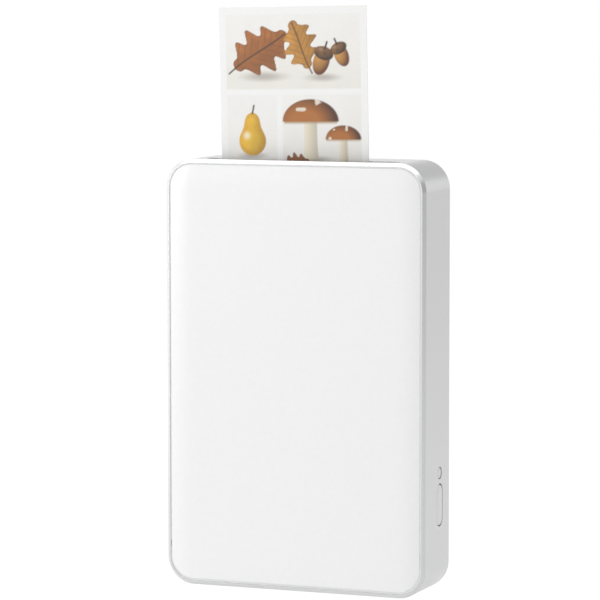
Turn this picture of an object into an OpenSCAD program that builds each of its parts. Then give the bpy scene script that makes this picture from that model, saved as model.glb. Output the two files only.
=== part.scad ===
// Pocket photo printer that stands on its short end: a silver ring frame, a crowned
// white front cover that hinges at the bottom, and a print leaving the slot on top.
// Axes: X is the width, Y the depth (front at -Y), Z the height. Millimetres.
// The origin is the middle of the bottom face.

/* [Body] */
// Width of the body
body_w = 88; // [86:0.5:92]
// Depth of the body, front rim to back plate
body_d = 23.8; // [23.6:0.1:26]
// Height of the body
body_h = 137; // [136:0.5:142]
// Radius of the four corners, seen from the front
corner_r = 9; // [8.6:0.1:9.6]
// Wall of the ring frame
wall = 1.3; // [1.2:0.05:1.4]
// Width of the bright chamfer round the front rim
rim_chamfer = 1; // [0.8:0.05:1.1]
// Round of the back edge
back_round = 0.8; // [0.5:0.1:1.2]
// Thickness of the back plate
back_t = 1.6; // [1.4:0.1:1.7]

/* [Front cover] */
// Seam round the top and the sides of the cover
seam = 0.15; // [0.12:0.01:0.2]
// Seam under the cover, where its edge swings in
hinge_seam = 0.55; // [0.54:0.01:0.6]
// Thickness of the cover in its middle
cover_t = 2.7; // [2.6:0.05:2.8]
// How far its middle stands in front of the rim
cover_proud = 0.7; // [0.6:0.05:0.8]
// How far the face falls towards its edges
crown = 0.8; // [0.7:0.05:0.9]
// Height of the hinge axis
hinge_z = 10.5; // [10.2:0.1:10.8]
// Depth of the hinge axis behind the front
hinge_depth = 3.4; // [3.3:0.05:3.5]

/* [Paper path] */
// Width of a sheet
sheet_w = 50; // [49:0.5:50.5]
// Length of a sheet
sheet_l = 76; // [75:0.5:76]
// Thickness of a sheet
sheet_t = 0.28; // [0.22:0.01:0.29]
// Sheets left in the tray
stack_count = 8; // [4:1:8]
// Middle of the paper path, off centre because the gears take the right side
path_x = -2.7; // [-3:0.1:-2.5]
// Depth of the printed sheet's face
sheet_depth = 7.4; // [7.4:0.01:7.45]
// How far the printed sheet stands out of the body at rest
sheet_out = 48.4; // [48:0.1:52]
// How far the sheet leaves askew, in degrees
sheet_skew = 1.15; // [0:0.05:1.2]
// Length of the exit slot
slot_l = 65.2; // [63:0.1:66]
// Width of the exit slot, front to back
slot_w = 4.6; // [4.4:0.1:4.8]
// Middle of the exit slot from the body's middle
slot_x = 0.6; // [0:0.1:0.8]

/* [Drive train] */
// Radius of the platen roller
platen_r = 4; // [3.9:0.02:4]
// Radius of the pickup roller
pickup_r = 5; // [4.9:0.02:5]
// Print line below the top of the body
print_drop = 16; // [15.9:0.1:16.2]
// Pickup roller below the print line
roller_drop = 23; // [22.9:0.05:23.1]
// Gear module
gear_m = 0.5; // [0.49:0.005:0.5]
// Face width of a gear
gear_face = 2.5; // [2:0.1:2.6]

/* [Controls] */
// Length of the power button
button_l = 13.5; // [12:0.1:14]
// Width of the power button
button_w = 5.6; // [5:0.1:5.8]
// Height of the power button's middle
button_z = 28.3; // [27:0.1:29]
// Height of the status light's middle
light_z = 38.5; // [38.4:0.1:40]
// Diameter of the status light
light_d = 3.8; // [3:0.1:4]
// Depth of both in front of the back face
control_back = 9.6; // [9.5:0.05:9.8]

/* [Electronics] */
// Width of the battery
battery_w = 31; // [26:1:31]
// Thickness of the battery
battery_t = 7; // [5:0.5:7]
// Height of the main board
board_h = 43.5; // [42:0.5:44]

/* [Hidden] */
$fn = 64;

// clearances
fit = 0.05;        // running fit, radial
gap = 0.1;         // still parts side by side
paper_gap = 0.02;  // roller to sheet
eps = 0.01;        // overlap inside one solid
over = 1;          // how far a cut runs past a surface

// depths behind the front rim
cover_in = cover_t - cover_proud;
plate_near = body_d - back_t;
ledge_near = plate_near - 1.2;
works_far = plate_near - 0.6;
works_near = cover_in + 2.2;
flange_near = cover_in + 1.2;
flange_t = 0.5;
sheet_back = sheet_depth + sheet_t;
floor_t = 1.2;
floor_near = sheet_back + 0.07;
floor_far = floor_near + floor_t;
slot_depth = sheet_depth - 0.9;

// the stack, its foot in the tray and its head under the gate
stack_pitch = sheet_t + eps;
stack_back = sheet_depth - 0.1;
stack_front = stack_back - stack_count * stack_pitch;
gate_far = sheet_depth - 0.3;
print_z = body_h - print_drop;
pickup_z = print_z - roller_drop;
stack_low = pickup_z + 14.1 - sheet_l;
stack_high = stack_low + sheet_l;
tray_low = stack_low - 1.6;
foot_t = 1.5;
lip_t = 1.5;
lip_set = 0.4;
gate_low = stack_high + 0.4;
gate_high = print_z - 7;
sensor_at = [path_x + 15.5, print_z - 14];
sensor_w = 4.4;
sensor_h = 3.4;
sensor_flange = 0.7;
floor_window = [30, 10];

// side plates of the chassis
side_gap = 1;
side_t = 1.5;
left_in = path_x - sheet_w / 2 - side_gap;
left_out = left_in - side_t;
right_in = path_x + sheet_w / 2 + side_gap;
right_out = right_in + side_t;
cross_half = body_w / 2 - wall - 1.3;
cross_low = 12.2;
cross_h = 7.8;
side_low = cross_low + cross_h + gap;
side_high = body_h - 6;
floor_high = print_z - 6;
side_notch = 2.2;

// travel of the printed sheet from rest, down to its place in the tray and up to the print line
sheet_middle_z = body_h + sheet_out - sheet_l / 2;
sheet_corner_z = sheet_middle_z - sheet_l / 2 * cos(sheet_skew) - sheet_w / 2 * sin(sheet_skew);
sheet_low = stack_low - sheet_corner_z;
sheet_high = print_z - 0.5 - sheet_corner_z;

// corner posts and their screws
post_x = body_w / 2 - 4.6;
post_low = 14.5;
post_high = body_h - 7.8;
post_r = 2.6;
post_near = floor_far + gap / 2;
post_web = [3.2, 4];
ledge = wall + 1.1;
plate_lip_t = 0.8;
relief = 0.2;
relief_near = 1.4;
relief_far = post_near - 0.6;
upper_low = post_high - 2.1;
upper_h = 4.6;
screw_r = 0.75;
bore_r = 0.8;
head_r = 1.5;
head_t = 1;
small_head_r = 1.3;
small_head_t = 0.7;
drive_w = 1.7;
drive_t = 0.45;
drive_depth = 0.45;

// hinge and magnets
pin_r = 0.75;
ear_x = 27.9;
ear_t = 2.4;
ear_r = 1.7;
bracket_x = 30.4;
bracket_t = 2.2;
bracket_r = 1.1;
magnet_r = 2.5;
magnet_t = 1.1;
magnet_gap = 0.15;
magnet_x = post_x - 5.4;
magnet_z = print_z + 6;
magnet_near = cover_in + magnet_t + magnet_gap;

// front cover
cover_w = body_w - 2 * (wall + seam);
cover_low = wall + hinge_seam;
cover_h = body_h - wall - seam - cover_low;
cover_mid = cover_low + cover_h / 2;
cover_r = corner_r - wall - seam;
edge_round = 0.4;
rib_h = 0.8;
rib_t = 0.9;
rib_inset = 2.2;
pocket_depth = 0.9;
pocket_r = 3;
magnet_boss_r = magnet_r + 1;
magnet_boss_h = 0.7;

// pressure plate, its hooks and leaves
pan_t = 0.6;
pan_far = stack_front - 0.03;
pan_step = 2.6;
pan_r = 2;
flange_half = 23;
plate_low = tray_low + 11.5;
plate_high = stack_high - 10.1;
plate_travel = 0.9;
hook_z = [plate_low + 8, plate_high - 8];
hook_half = 3;
hook_t = 0.6;
hook_reach = 0.7;
leaf_z = [plate_low + 14, plate_high - 14];
leaf_half = 8;
leaf_w = 10;
leaf_t = 0.22;

// rollers and gears, as [depth, height]
platen_at = [sheet_back + paper_gap + platen_r, print_z];
pickup_at = [sheet_back + paper_gap + pickup_r, pickup_z];
pickup_half = 8;
shaft_r = 1.5;
hub_t = 1.4;
bush_r = 2.6;
bush_flange_r = 3.3;
bush_flange_t = 0.6;
clip_r = 2.6;
clip_t = 0.5;
shaft_left = left_out - 1.6;
platen_teeth = 20;
idler_teeth = 24;
pickup_teeth = 25;
small_teeth = 11;
second_teeth = 30;
first_teeth = 33;
pinion_teeth = 10;
pressure_angle = 20;
tooth_thinning = 0.07;
mesh_ease = 0.04;
recess = 0.5;
plane_gap = 0.8;
plane_1 = right_out + 1.4;
plane_2 = plane_1 + gear_face + plane_gap;
plane_3 = plane_2 + gear_face + plane_gap;
gear_plate_x = plane_3 + gear_face + 0.9;
gear_plate_t = 1.2;
collar_r = 1.35;

function pitch_r(teeth) = gear_m * teeth / 2;
function centre_gap(a, b) = pitch_r(a) + pitch_r(b) + mesh_ease;

// the idler meshes with both roller gears, a little in front of the line between them;
// the reducers stand in the middle of the room between the cover and the back plate
idler_at = third_corner(pickup_at, platen_at,
    centre_gap(idler_teeth, pickup_teeth), centre_gap(platen_teeth, idler_teeth));
train_depth = (cover_in + plate_near) / 2;
second_at = below(pickup_at, centre_gap(pickup_teeth, small_teeth), train_depth);
first_at = below(second_at, centre_gap(second_teeth, small_teeth), train_depth);

// the motor fills the room behind the tray floor
motor_at = below(first_at, centre_gap(first_teeth, pinion_teeth), (floor_far + plate_near) / 2);
motor_r = (plate_near - floor_far) / 2 - 1.1;
motor_l = 16;
motor_shaft_r = 0.5;
motor_boss_r = 2.1;
motor_screw_step = motor_r - 1.7;
motor_flat = motor_r - 0.6;
motor_head_r = 1.2;
motor_cap_r = 2.4;
motor_cap_t = 1.2;
terminal_l = 1.8;
terminal_w = 1.6;
terminal_t = 0.3;
terminal_step = 3.2;

// tooth phases, worked along the train from the platen gear
platen_phase = 0;
idler_phase = meshed(platen_phase, platen_teeth, idler_teeth, idler_at - platen_at);
pickup_phase = meshed(idler_phase, idler_teeth, pickup_teeth, pickup_at - idler_at);
second_phase = meshed(pickup_phase, pickup_teeth, small_teeth, second_at - pickup_at);
first_phase = meshed(second_phase, second_teeth, small_teeth, first_at - second_at);
pinion_phase = meshed(first_phase, first_teeth, pinion_teeth, motor_at - first_at);

function polar(r, angle) = r * [cos(angle), sin(angle)];

// the centre below another one, at this distance from it and at this depth
function below(at, distance, depth) =
    [depth, at[1] - sqrt(distance * distance - (depth - at[0]) * (depth - at[0]))];

// the corner of a triangle on the base a-b, at these distances from a and b
function third_corner(a, b, from_a, from_b) =
    let (base = norm(b - a),
         along = (from_a * from_a - from_b * from_b + base * base) / (2 * base),
         aside = sqrt(from_a * from_a - along * along),
         unit = (b - a) / base)
    a + along * unit + aside * [-unit[1], unit[0]];

// phase of a gear that meshes with the one it stands beside, offset by step
function meshed(phase, teeth, next_teeth, step) =
    let (line = atan2(step[1], step[0]))
    line + 180 - 180 / next_teeth + (line - phase) * teeth / next_teeth;

// involute angle at radius r over the base radius
function involute(r, base) =
    r > base ? tan(acos(base / r)) * 180 / PI - acos(base / r) : 0;

// half the angle that a tooth takes up at radius r
function half_tooth(r, teeth) =
    let (p = pitch_r(teeth), base = p * cos(pressure_angle))
    90 / teeth - tooth_thinning / 2 / p * 180 / PI + involute(p, base) - involute(r, base);

// print head
head_far = sheet_depth - 0.5;
head_board_t = 1;
head_near = head_far - head_board_t;
head_half_h = 4;
bead_at = [head_far - 0.5, print_z];
bead_r = sheet_depth - 2 * paper_gap - bead_at[0];
sink_half = sheet_w / 2 - 0.1;
sink_half_h = 6;
sink_near = cover_in + 1.7;
lug_near = cover_in + 1.3;
lug_far = lug_near + 2.3;
lug_reach = 2;
lug_half_h = 3.2;
spring_t = 0.3;
spring_half_h = 2;

// main board and what it carries
board_t = 1.2;
control_depth = body_d - control_back;
board_near = control_depth + 1.4;
board_far = board_near + board_t;
board_left = 7.6 - body_w / 2;
board_right = body_w / 2 - 8;
board_low = 2.5;
board_high = board_low + board_h;
board_r = 1.5;
boss_r = 2.2;
can_w = 18;
can_h = 16;
can_t = 2;
can_at = [-3, board_low + 27.5];
can_hole_r = 0.5;
can_hole_step = [3.6, 4];
chip_w = 8;
chip_t = 1;
chip_places = [[-20, board_low + 21.5], [22, board_low + 23.5]];
memory_w = 10;
memory_t = 1.6;
memory_at = [-1, board_low + 26.5];
choke_r = 1.6;
choke_t = 1.7;
choke_low = [26, board_low + 11.5];
choke_step = 5;
small_part = [1.2, 0.6, 2];
small_low = [-34, board_low + 8];
small_step = [2.4, 3];
usb_x = 12;
usb_w = 8.9;
usb_t = 3.2;
usb_shell = 0.3;
usb_gap = 0.25;
usb_depth = board_far + usb_t / 2 + fit;
cable_w = 5;
cable_t = 0.2;
cable_left = left_out - cable_w - 0.6;
cable_socket_h = 4.6;
cable_socket_t = 1.9;
cable_socket_high = board_high - 1.4;
plug_x = [8, 16];
plug_low = board_high - 11;
plug_high = plug_low + 5;
plug_t = 3.4;

// side switch, button and light
press = 0.4;
plunger_right = body_w / 2 - 5.6;
switch_right = plunger_right - 2;
switch_half_h = 3;
button_flange = 1;

// battery, above the board and below the pickup roller
tab_h = 6;
tab_z = [board_high + 4, pickup_z + 5];
battery_gap = 0.25;
battery_left = left_in + 1.2;
battery_low = board_high + 3;
battery_high = pickup_z - pickup_r - 2;
lead_r = 0.5;
lead_pitch = 2.4;
cradle_t = 1;
cradle_h = 3;
pouch_r = 1.6;
pouch_fold = 2.5;
pouch_fold_t = 1.2;
plate_window = [13, (battery_low + battery_high) / 2];
plate_window_l = 28;
plate_window_w = 6;

function yd(depth) = depth - body_d / 2;
function post_places() = [for (x = [-1, 1], z = [post_low, post_high]) [x * post_x, z]];
function magnet_places() = [for (side = [-1, 1]) [side * magnet_x, magnet_z]];
function board_places() = [for (x = [-23, 18], z = [board_low + 13, board_high - 4]) [x, z]];
function head_screw_places() = [[left_out - 2.4, print_z], [right_out + 2.2, print_z]];
function motor_screw_places() = [for (side = [-1, 1]) motor_at + [0, side * motor_screw_step]];
function standoff_places() = [[works_near + 2, motor_at[1] - 0.8],
    [works_far - 1.7, motor_at[1] - 3.9], [works_far - 1.6, pickup_z + 7.6]];

// ---------------------------------------------------------------- shared shapes

// a plate seen from the front, between two depths; its outline is drawn in X and Z
module slab(near, far) {
    translate([0, yd(far), 0]) rotate([90, 0, 0]) linear_extrude(far - near) children();
}

// a shape seen from the side, between two places in X; its outline is drawn in depth and Z
module across(left, right) {
    translate([left, yd(0), 0]) rotate([90, 0, 90]) linear_extrude(right - left) children();
}

// a shape seen from above, between two heights; its outline is drawn in X and depth
module upright(low, high) {
    translate([0, yd(0), low]) linear_extrude(high - low) children();
}

// a box from two opposite corners, each [x, depth, z]
module block(a, b) {
    translate([a[0], yd(a[1]), a[2]]) cube(b - a);
}

module round_rect(w, h, r) {
    square([w - 2 * r, h], center = true);
    square([w, h - 2 * r], center = true);
    for (x = [-1, 1], y = [-1, 1])
        translate([x * (w / 2 - r), y * (h / 2 - r)]) circle(r);
}

module pill(l, w) {
    square([l - w, w], center = true);
    for (side = [-1, 1]) translate([side * (l - w) / 2, 0]) circle(w / 2);
}

// carries a cross-section round a rounded rectangle: its x is the distance outwards
// from the outline, and its y the distance in front of the front rim
module around(w, h, r, middle_z) {
    translate([0, yd(0), middle_z]) rotate([90, 0, 0])
        for (k = [0:3]) rotate(90 * k) {
            out = (k % 2 == 0 ? w : h) / 2;
            run = (k % 2 == 0 ? h : w) - 2 * r;
            translate([out, run / 2, 0]) rotate([90, 0, 0]) linear_extrude(run) children();
            translate([out - r, run / 2, 0]) rotate_extrude(angle = 90)
                translate([r, 0]) children();
        }
}

// outline points given as [inset, depth]
module section(points) {
    polygon([for (p = points) [-p[0], -p[1]]]);
}

module rod(left, right, at, r) {
    translate([left, yd(at[0]), at[1]]) rotate([0, 90, 0]) cylinder(r = r, h = right - left);
}

// a round piece along the depth, at [x, z]
module stud(near, far, at, r) {
    translate([at[0], yd(near), at[1]]) rotate([-90, 0, 0]) cylinder(r = r, h = far - near);
}

// the cross that a screwdriver fits
module drive_cross() {
    square([drive_w, drive_t], center = true);
    square([drive_t, drive_w], center = true);
}

module collar(left, right, at, r, bore) {
    difference() {
        rod(left, right, at, r);
        rod(left - over, right + over, at, bore);
    }
}

// a ribbon of even thickness along a line of points, folded out by step
module ribbon(line, step) {
    polygon(concat(line, [for (i = [len(line) - 1:-1:0]) line[i] + step]));
}

module gear_outline(teeth) {
    p = pitch_r(teeth);
    root = p - 1.25 * gear_m;
    tip = p + 0.88 * gear_m;
    base = max(p * cos(pressure_angle), root);
    flank = 4;
    radii = [root, base, each [for (i = [1:flank]) base + (tip - base) * i / flank]];
    up = [for (i = [0:len(radii) - 1]) i];
    down = [for (i = [len(radii) - 1:-1:0]) i];
    polygon([for (k = [0:teeth - 1]) each concat(
        [for (i = up) polar(radii[i], k * 360 / teeth - half_tooth(radii[i], teeth))],
        [for (i = down) polar(radii[i], k * 360 / teeth + half_tooth(radii[i], teeth))])]);
}

// a round piece with flat sides towards the front and the back
module flat_rod(left, right, at, r, half) {
    intersection() {
        rod(left, right, at, r);
        block([left, at[0] - half, at[1] - r], [right, at[0] + half, at[1] + r]);
    }
}

// a spur gear with its bore, and a recessed web where it is large enough
module gear(left, at, teeth, phase, bore) {
    rim_r = pitch_r(teeth) - 2.6 * gear_m;
    hub = bore + 1.6;
    difference() {
        across(left, left + gear_face)
            translate(at) rotate(phase) gear_outline(teeth);
        rod(left - over, left + gear_face + over, at, bore);
        if (rim_r > hub + 1) collar(left + gear_face - recess, left + gear_face + over, at, rim_r, hub);
    }
}

// ---------------------------------------------------------------- housing

// the ring; its wall is a little thinner behind the rim, where the cover's edge swings
module mid_frame() {
    color("silver") difference() {
        union() {
            around(body_w, body_h, corner_r, body_h / 2) section(concat([
                [0, rim_chamfer], [rim_chamfer, 0], [wall, 0], [wall, relief_near],
                [wall - relief, relief_near + relief], [wall - relief, relief_far - relief],
                [wall, relief_far], [wall, ledge_near],
                [ledge, ledge_near], [ledge, plate_near], [wall, plate_near],
                [wall, body_d], [back_round, body_d]],
                [for (a = [15:15:75]) [back_round * (1 - sin(a)),
                    body_d - back_round * (1 - cos(a))]],
                [[0, body_d - back_round]]));
            slab(post_near, plate_near) for (at = post_places()) {
                translate(at) circle(post_r);
                translate(at + [sign(at[0]) * (post_r - gap * 8), 0]) square(post_web, center = true);
            }
        }
        for (at = post_places()) stud(post_near - over, plate_near + over, at, bore_r);
        upright(body_h - wall - over, body_h + over) translate([slot_x, slot_depth]) pill(slot_l, slot_w);
        across(body_w / 2 - wall - over, body_w / 2 + over) translate([control_depth, button_z])
            rotate(90) pill(button_l + gap * 2, button_w + gap * 2);
        rod(body_w / 2 - wall - over, body_w / 2 + over, [control_depth, light_z], light_d / 2 + fit);
        upright(-over, wall + over) translate([usb_x, usb_depth])
            pill(usb_w + usb_gap * 2, usb_t + usb_gap * 2);
    }
}

// the plate lies in the back of the ring, with a lip round its inside that finds the ledge
module back_plate() {
    edge = wall + gap;
    lip = ledge + gap;
    color("silver") difference() {
        union() {
            slab(plate_near, body_d) translate([0, body_h / 2])
                round_rect(body_w - 2 * edge, body_h - 2 * edge, corner_r - edge);
            difference() {
                around(body_w, body_h, corner_r, body_h / 2)
                    section([[lip, ledge_near], [lip + plate_lip_t, ledge_near],
                        [lip + plate_lip_t, plate_near + eps], [lip, plate_near + eps]]);
                for (at = post_places()) stud(ledge_near - over, plate_near, at, post_r + 0.3);
            }
        }
        for (at = post_places()) {
            stud(plate_near - over, body_d + over, at, screw_r + gap);
            stud(body_d - head_t, body_d + over, at, head_r + gap);
        }
    }
}

// ---------------------------------------------------------------- chassis

module side_plate_outline() {
    notch = [board_near - side_notch, board_high + 2];
    polygon([[works_near, side_low], [notch[0], side_low], notch, [works_far, notch[1]],
        [works_far, side_high], [works_near, side_high]]);
}

// two side plates joined by the foot of the tray, the gate over the stack, the lip at the
// slot and the upper cross plate
module chassis() {
    color("dimgray") difference() {
        union() {
            for (x = [left_out, right_in]) across(x, x + side_t) side_plate_outline();
            block([left_out, works_near, tray_low], [right_out, floor_near - fit, tray_low + foot_t]);
            block([left_out, works_near, gate_low], [right_out, gate_far, gate_high]);
            block([left_out, works_near + lip_set, side_high - lip_t], [right_out, gate_far - fit, side_high]);
            slab(floor_near, floor_far) {
                translate([-cross_half, upper_low]) square([2 * cross_half, upper_h]);
                translate([left_out, post_high])
                    square([right_out - left_out, body_h - wall - 0.5 - post_high]);
            }
            for (at = magnet_places())
                stud(magnet_near + magnet_t / 2, floor_near + gap, at, magnet_r + 0.5);
            head_lugs();
            for (at = standoff_places()) rod(right_out - gap, gear_plate_x, at, 1.7);
        }
        for (at = magnet_places()) stud(0, magnet_near + magnet_t, at, magnet_r + fit);
        for (at = [platen_at, pickup_at]) {
            rod(left_out - over, left_in + over, at, bush_r);
            rod(right_in - over, right_out + over, at, bush_r);
        }
        across(left_out - over, left_in + over) translate(plate_window) rotate(90)
            pill(plate_window_l, plate_window_w);
        // the head's way through, and slots for the tabs of the tray floor
        block([left_out - 6, head_near - 0.2, print_z - head_half_h - 0.6],
            [left_in + over, head_far + 0.25, print_z + head_half_h + 0.6]);
        for (z = tab_z) block([left_out - over, floor_near - fit, z - fit],
            [right_out + over, floor_far + fit, z + tab_h + fit]);
        rod(right_in - over, right_out + over, motor_at, motor_boss_r + gap);
        for (at = motor_screw_places()) rod(right_in - over, right_out + over, at, bore_r);
        for (at = [idler_at, second_at, first_at]) rod(right_in - over, right_out + over, at, pin_r);
        for (at = standoff_places()) rod(gear_plate_x - 5, gear_plate_x + over, at, bore_r);
        for (at = post_places()) stud(0, floor_far + over, at, bore_r + gap);
        for (at = head_screw_places()) stud(0, lug_far - 0.2, at, bore_r);
    }
}

// floor of the tray with the lower cross plate, tabs into the side plates, hinge brackets
// for the cover, bosses for the board and windows for the roller and the sensor
module tray_floor() {
    half = pickup_half + 1;
    color("dimgray") difference() {
        union() {
            slab(floor_near, floor_far) {
                translate([left_in + fit, cross_low])
                    square([right_in - left_in - 2 * fit, floor_high - cross_low]);
                translate([-cross_half, cross_low]) square([2 * cross_half, cross_h]);
                for (z = tab_z) translate([left_out, z]) square([right_out - left_out, tab_h]);
            }
            hinge_brackets();
            for (at = board_places()) stud(floor_far - gap, board_near, at, boss_r);
            battery_cradle();
        }
        block([path_x - half, 0, pickup_z - pickup_r - 1],
            [path_x + half, floor_far + 2, pickup_z + pickup_r + 1]);
        slab(floor_near - over, floor_far + over) {
            translate(sensor_at) square([sensor_w + 0.6, sensor_h + 0.6], center = true);
            translate([path_x, tray_low - 9]) round_rect(floor_window[0], floor_window[1], 2);
        }
        for (at = post_places()) stud(0, floor_far + over, at, bore_r + gap);
        for (at = board_places()) stud(board_near - 5, board_near + over, at, bore_r);
        for (side = [-1, 1])
            rod(side * bracket_x - bracket_t, side * bracket_x + bracket_t, [hinge_depth, hinge_z], pin_r);
    }
}

module hinge_brackets() {
    root = floor_near + gap;
    for (side = [-1, 1])
        across(side * bracket_x - bracket_t / 2, side * bracket_x + bracket_t / 2) {
            translate([hinge_depth, hinge_z]) circle(bracket_r);
            polygon([[hinge_depth - 0.6, hinge_z + 0.92], [hinge_depth + bracket_r, hinge_z],
                [root, cross_low + 1], [root, cross_low + cross_h - 1]]);
        }
}

// lugs on the outer faces of the side plates, which carry the ends of the head's spring
module head_lugs() {
    for (at = head_screw_places()) {
        inner = at[0] < 0 ? left_out + eps : right_out - eps;
        outer = at[0] < 0 ? at[0] - lug_reach : at[0] + lug_reach;
        block([min(inner, outer), lug_near, at[1] - lug_half_h],
            [max(inner, outer), lug_far, at[1] + lug_half_h]);
    }
}

// low walls on the floor that hold the battery from below and from the right
module battery_cradle() {
    right = battery_left + battery_w + gap;
    far = floor_far + cradle_h;
    block([battery_left + 2, floor_far - eps, battery_low - gap - cradle_t],
        [right - 8, far, battery_low - gap]);
    block([right, floor_far - eps, battery_low + 8], [right + cradle_t, far, battery_high - 4]);
}

module chassis_screws() {
    near = floor_near - head_t;
    color("gray") for (at = post_places()) {
        difference() {
            stud(near, floor_near, at, head_r);
            slab(near - over, near + drive_depth) translate(at) drive_cross();
        }
        stud(floor_near - eps, floor_far + 5, at, screw_r);
    }
}

module back_screws() {
    far = body_d - gap;
    color("gray") for (at = post_places()) {
        difference() {
            stud(body_d - head_t, far, at, head_r);
            slab(far - drive_depth, far + over) translate(at) rotate(20) drive_cross();
        }
        stud(plate_near - 5, body_d - head_t + eps, at, screw_r);
    }
}

// ---------------------------------------------------------------- front cover

// how far the face lies behind the rim at this inset from the cover's edge
function face_depth(inset) =
    crown * pow(1 - min(inset / cover_r, 1), 2.4) - cover_proud
    + edge_round * pow(max(1 - inset / edge_round, 0), 2);

module front_cover() {
    insets = [0, 0.1, 0.25, 0.45, 1, 1.8, 2.8, 4, 5.4, cover_r];
    flat = face_depth(cover_r);
    color("white") difference() {
        union() {
            around(cover_w, cover_h, cover_r, cover_mid)
                section(concat([for (i = insets) [i, face_depth(i)]],
                    [[cover_r, cover_in], [0, cover_in]]));
            slab(flat, cover_in) translate([0, cover_mid])
                square([cover_w - 2 * cover_r, cover_h - 2 * cover_r], center = true);
            cover_ribs();
            hinge_ears();
            for (at = magnet_places())
                stud(cover_in - gap, cover_in + magnet_boss_h, at, magnet_boss_r);
            plate_hooks();
        }
        for (at = magnet_places()) stud(cover_in, cover_in + 2, at, magnet_r + fit);
        cover_pockets();
        for (side = [-1, 1])
            rod(side * ear_x - ear_t, side * ear_x + ear_t, [hinge_depth, hinge_z], pin_r + fit);
    }
}

// a rib round the inside of the cover, and two across it beside the pressure plate
module cover_ribs() {
    around(cover_w, cover_h, cover_r, cover_mid)
        section([[rib_inset, cover_in - gap], [rib_inset + rib_t, cover_in - gap],
            [rib_inset + rib_t, cover_in + rib_h], [rib_inset, cover_in + rib_h]]);
    half = cover_w / 2 - rib_inset - rib_t / 2;
    for (z = [plate_low - 6, plate_high + 3])
        block([-half, cover_in - gap, z], [half, cover_in + rib_h, z + rib_t]);
}

// hollows in the inside of the cover, which leave pads where the leaf springs press
module cover_pockets() {
    lower = [hinge_z + 6, plate_low - 8];
    middle = [plate_low - 3, plate_high + 1];
    upper = [plate_high + 6, magnet_z + 2];
    slab(cover_in - pocket_depth, cover_in + eps) {
        for (span = [lower, upper]) pocket_outline(0, 25, span);
        difference() {
            pocket_outline(path_x, flange_half - 2, middle);
            for (z = leaf_z) translate([path_x, z])
                square([leaf_w + 2, 2 * leaf_half + 2], center = true);
        }
    }
}

module pocket_outline(x, half, span) {
    translate([x, (span[0] + span[1]) / 2]) round_rect(2 * half, span[1] - span[0], pocket_r);
}

module hinge_ears() {
    for (side = [-1, 1]) across(side * ear_x - ear_t / 2, side * ear_x + ear_t / 2) {
        translate([hinge_depth, hinge_z]) circle(ear_r);
        translate([cover_in - gap, hinge_z - ear_r]) square([hinge_depth - cover_in + gap, 2 * ear_r]);
    }
}

// hooks that hold the pressure plate by its flange
module plate_hooks() {
    seat = flange_near + flange_t + fit;
    for (side = [-1, 1], z = hook_z) {
        edge = path_x + side * (flange_half + gap);
        inner = path_x + side * (flange_half - hook_reach);
        outer = path_x + side * (flange_half + gap + 1);
        block([min(edge, outer), cover_in - gap, z - hook_half],
            [max(edge, outer), seat + hook_t, z + hook_half]);
        block([min(inner, outer), seat, z - hook_half], [max(inner, outer), seat + hook_t, z + hook_half]);
    }
}

module cover_magnets() {
    color("gainsboro") for (at = magnet_places()) stud(cover_in, cover_in + magnet_t, at, magnet_r);
}

module chassis_magnets() {
    color("gainsboro") for (at = magnet_places()) stud(magnet_near, magnet_near + magnet_t, at, magnet_r);
}

module hinge_pins() {
    color("silver") for (side = [-1, 1]) {
        inner = side * (ear_x - ear_t / 2);
        outer = side * (bracket_x + bracket_t / 2);
        rod(min(inner, outer), max(inner, outer), [hinge_depth, hinge_z], pin_r);
    }
}

// ---------------------------------------------------------------- paper

// a sunk pan that presses the stack, with a flange held by the cover's hooks
module pressure_plate() {
    inner = pan_step + pan_t;
    color("gray") difference() {
        union() {
            slab(flange_near, flange_near + flange_t) pan_outline(0, pan_r);
            slab(flange_near, pan_far) pan_outline(pan_step, pan_r);
        }
        slab(0, pan_far - pan_t) pan_outline(inner, pan_r - pan_t);
    }
}

module pan_outline(inset, r) {
    translate([path_x, (plate_low + plate_high) / 2])
        round_rect(2 * (flange_half - inset), plate_high - plate_low - 2 * inset, r);
}

// two bowed leaves between the cover and the pan
module plate_springs() {
    rise = pan_far - pan_t - cover_in - leaf_t - 0.03;
    steps = 12;
    line = [for (i = [-steps:steps])
        [cover_in + paper_gap + rise * pow(cos(i * 90 / steps), 2), i * leaf_half / steps]];
    color("silver") for (z = leaf_z) across(path_x - leaf_w / 2, path_x + leaf_w / 2)
        translate([0, z]) ribbon(line, [leaf_t, 0]);
}

module paper_stack() {
    color("whitesmoke") for (i = [0:stack_count - 1])
        block([path_x - sheet_w / 2, stack_front + i * stack_pitch, stack_low],
            [path_x + sheet_w / 2, stack_front + i * stack_pitch + sheet_t, stack_high]);
}

module printed_sheet() {
    color("whitesmoke") slab(sheet_depth, sheet_back)
        translate([path_x, sheet_middle_z]) rotate(sheet_skew) square([sheet_w, sheet_l], center = true);
}

module separation_pad() {
    half = pickup_half - 1;
    color("darkgreen") block([path_x - half, gate_far, gate_low + gap],
        [path_x + half, sheet_depth - 0.03, gate_high - gap]);
}

// ---------------------------------------------------------------- print head

// the ceramic board with the raised bead that presses on the platen
module print_head() {
    color("tan") {
        block([left_out - 6, head_near, print_z - head_half_h],
            [path_x + sink_half, head_far, print_z + head_half_h]);
        intersection() {
            rod(path_x - sink_half, path_x + sink_half, bead_at, bead_r);
            block([path_x - sheet_w, head_far - 0.2, print_z - 3], [path_x + sheet_w, sheet_back, print_z + 3]);
        }
    }
}

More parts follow.
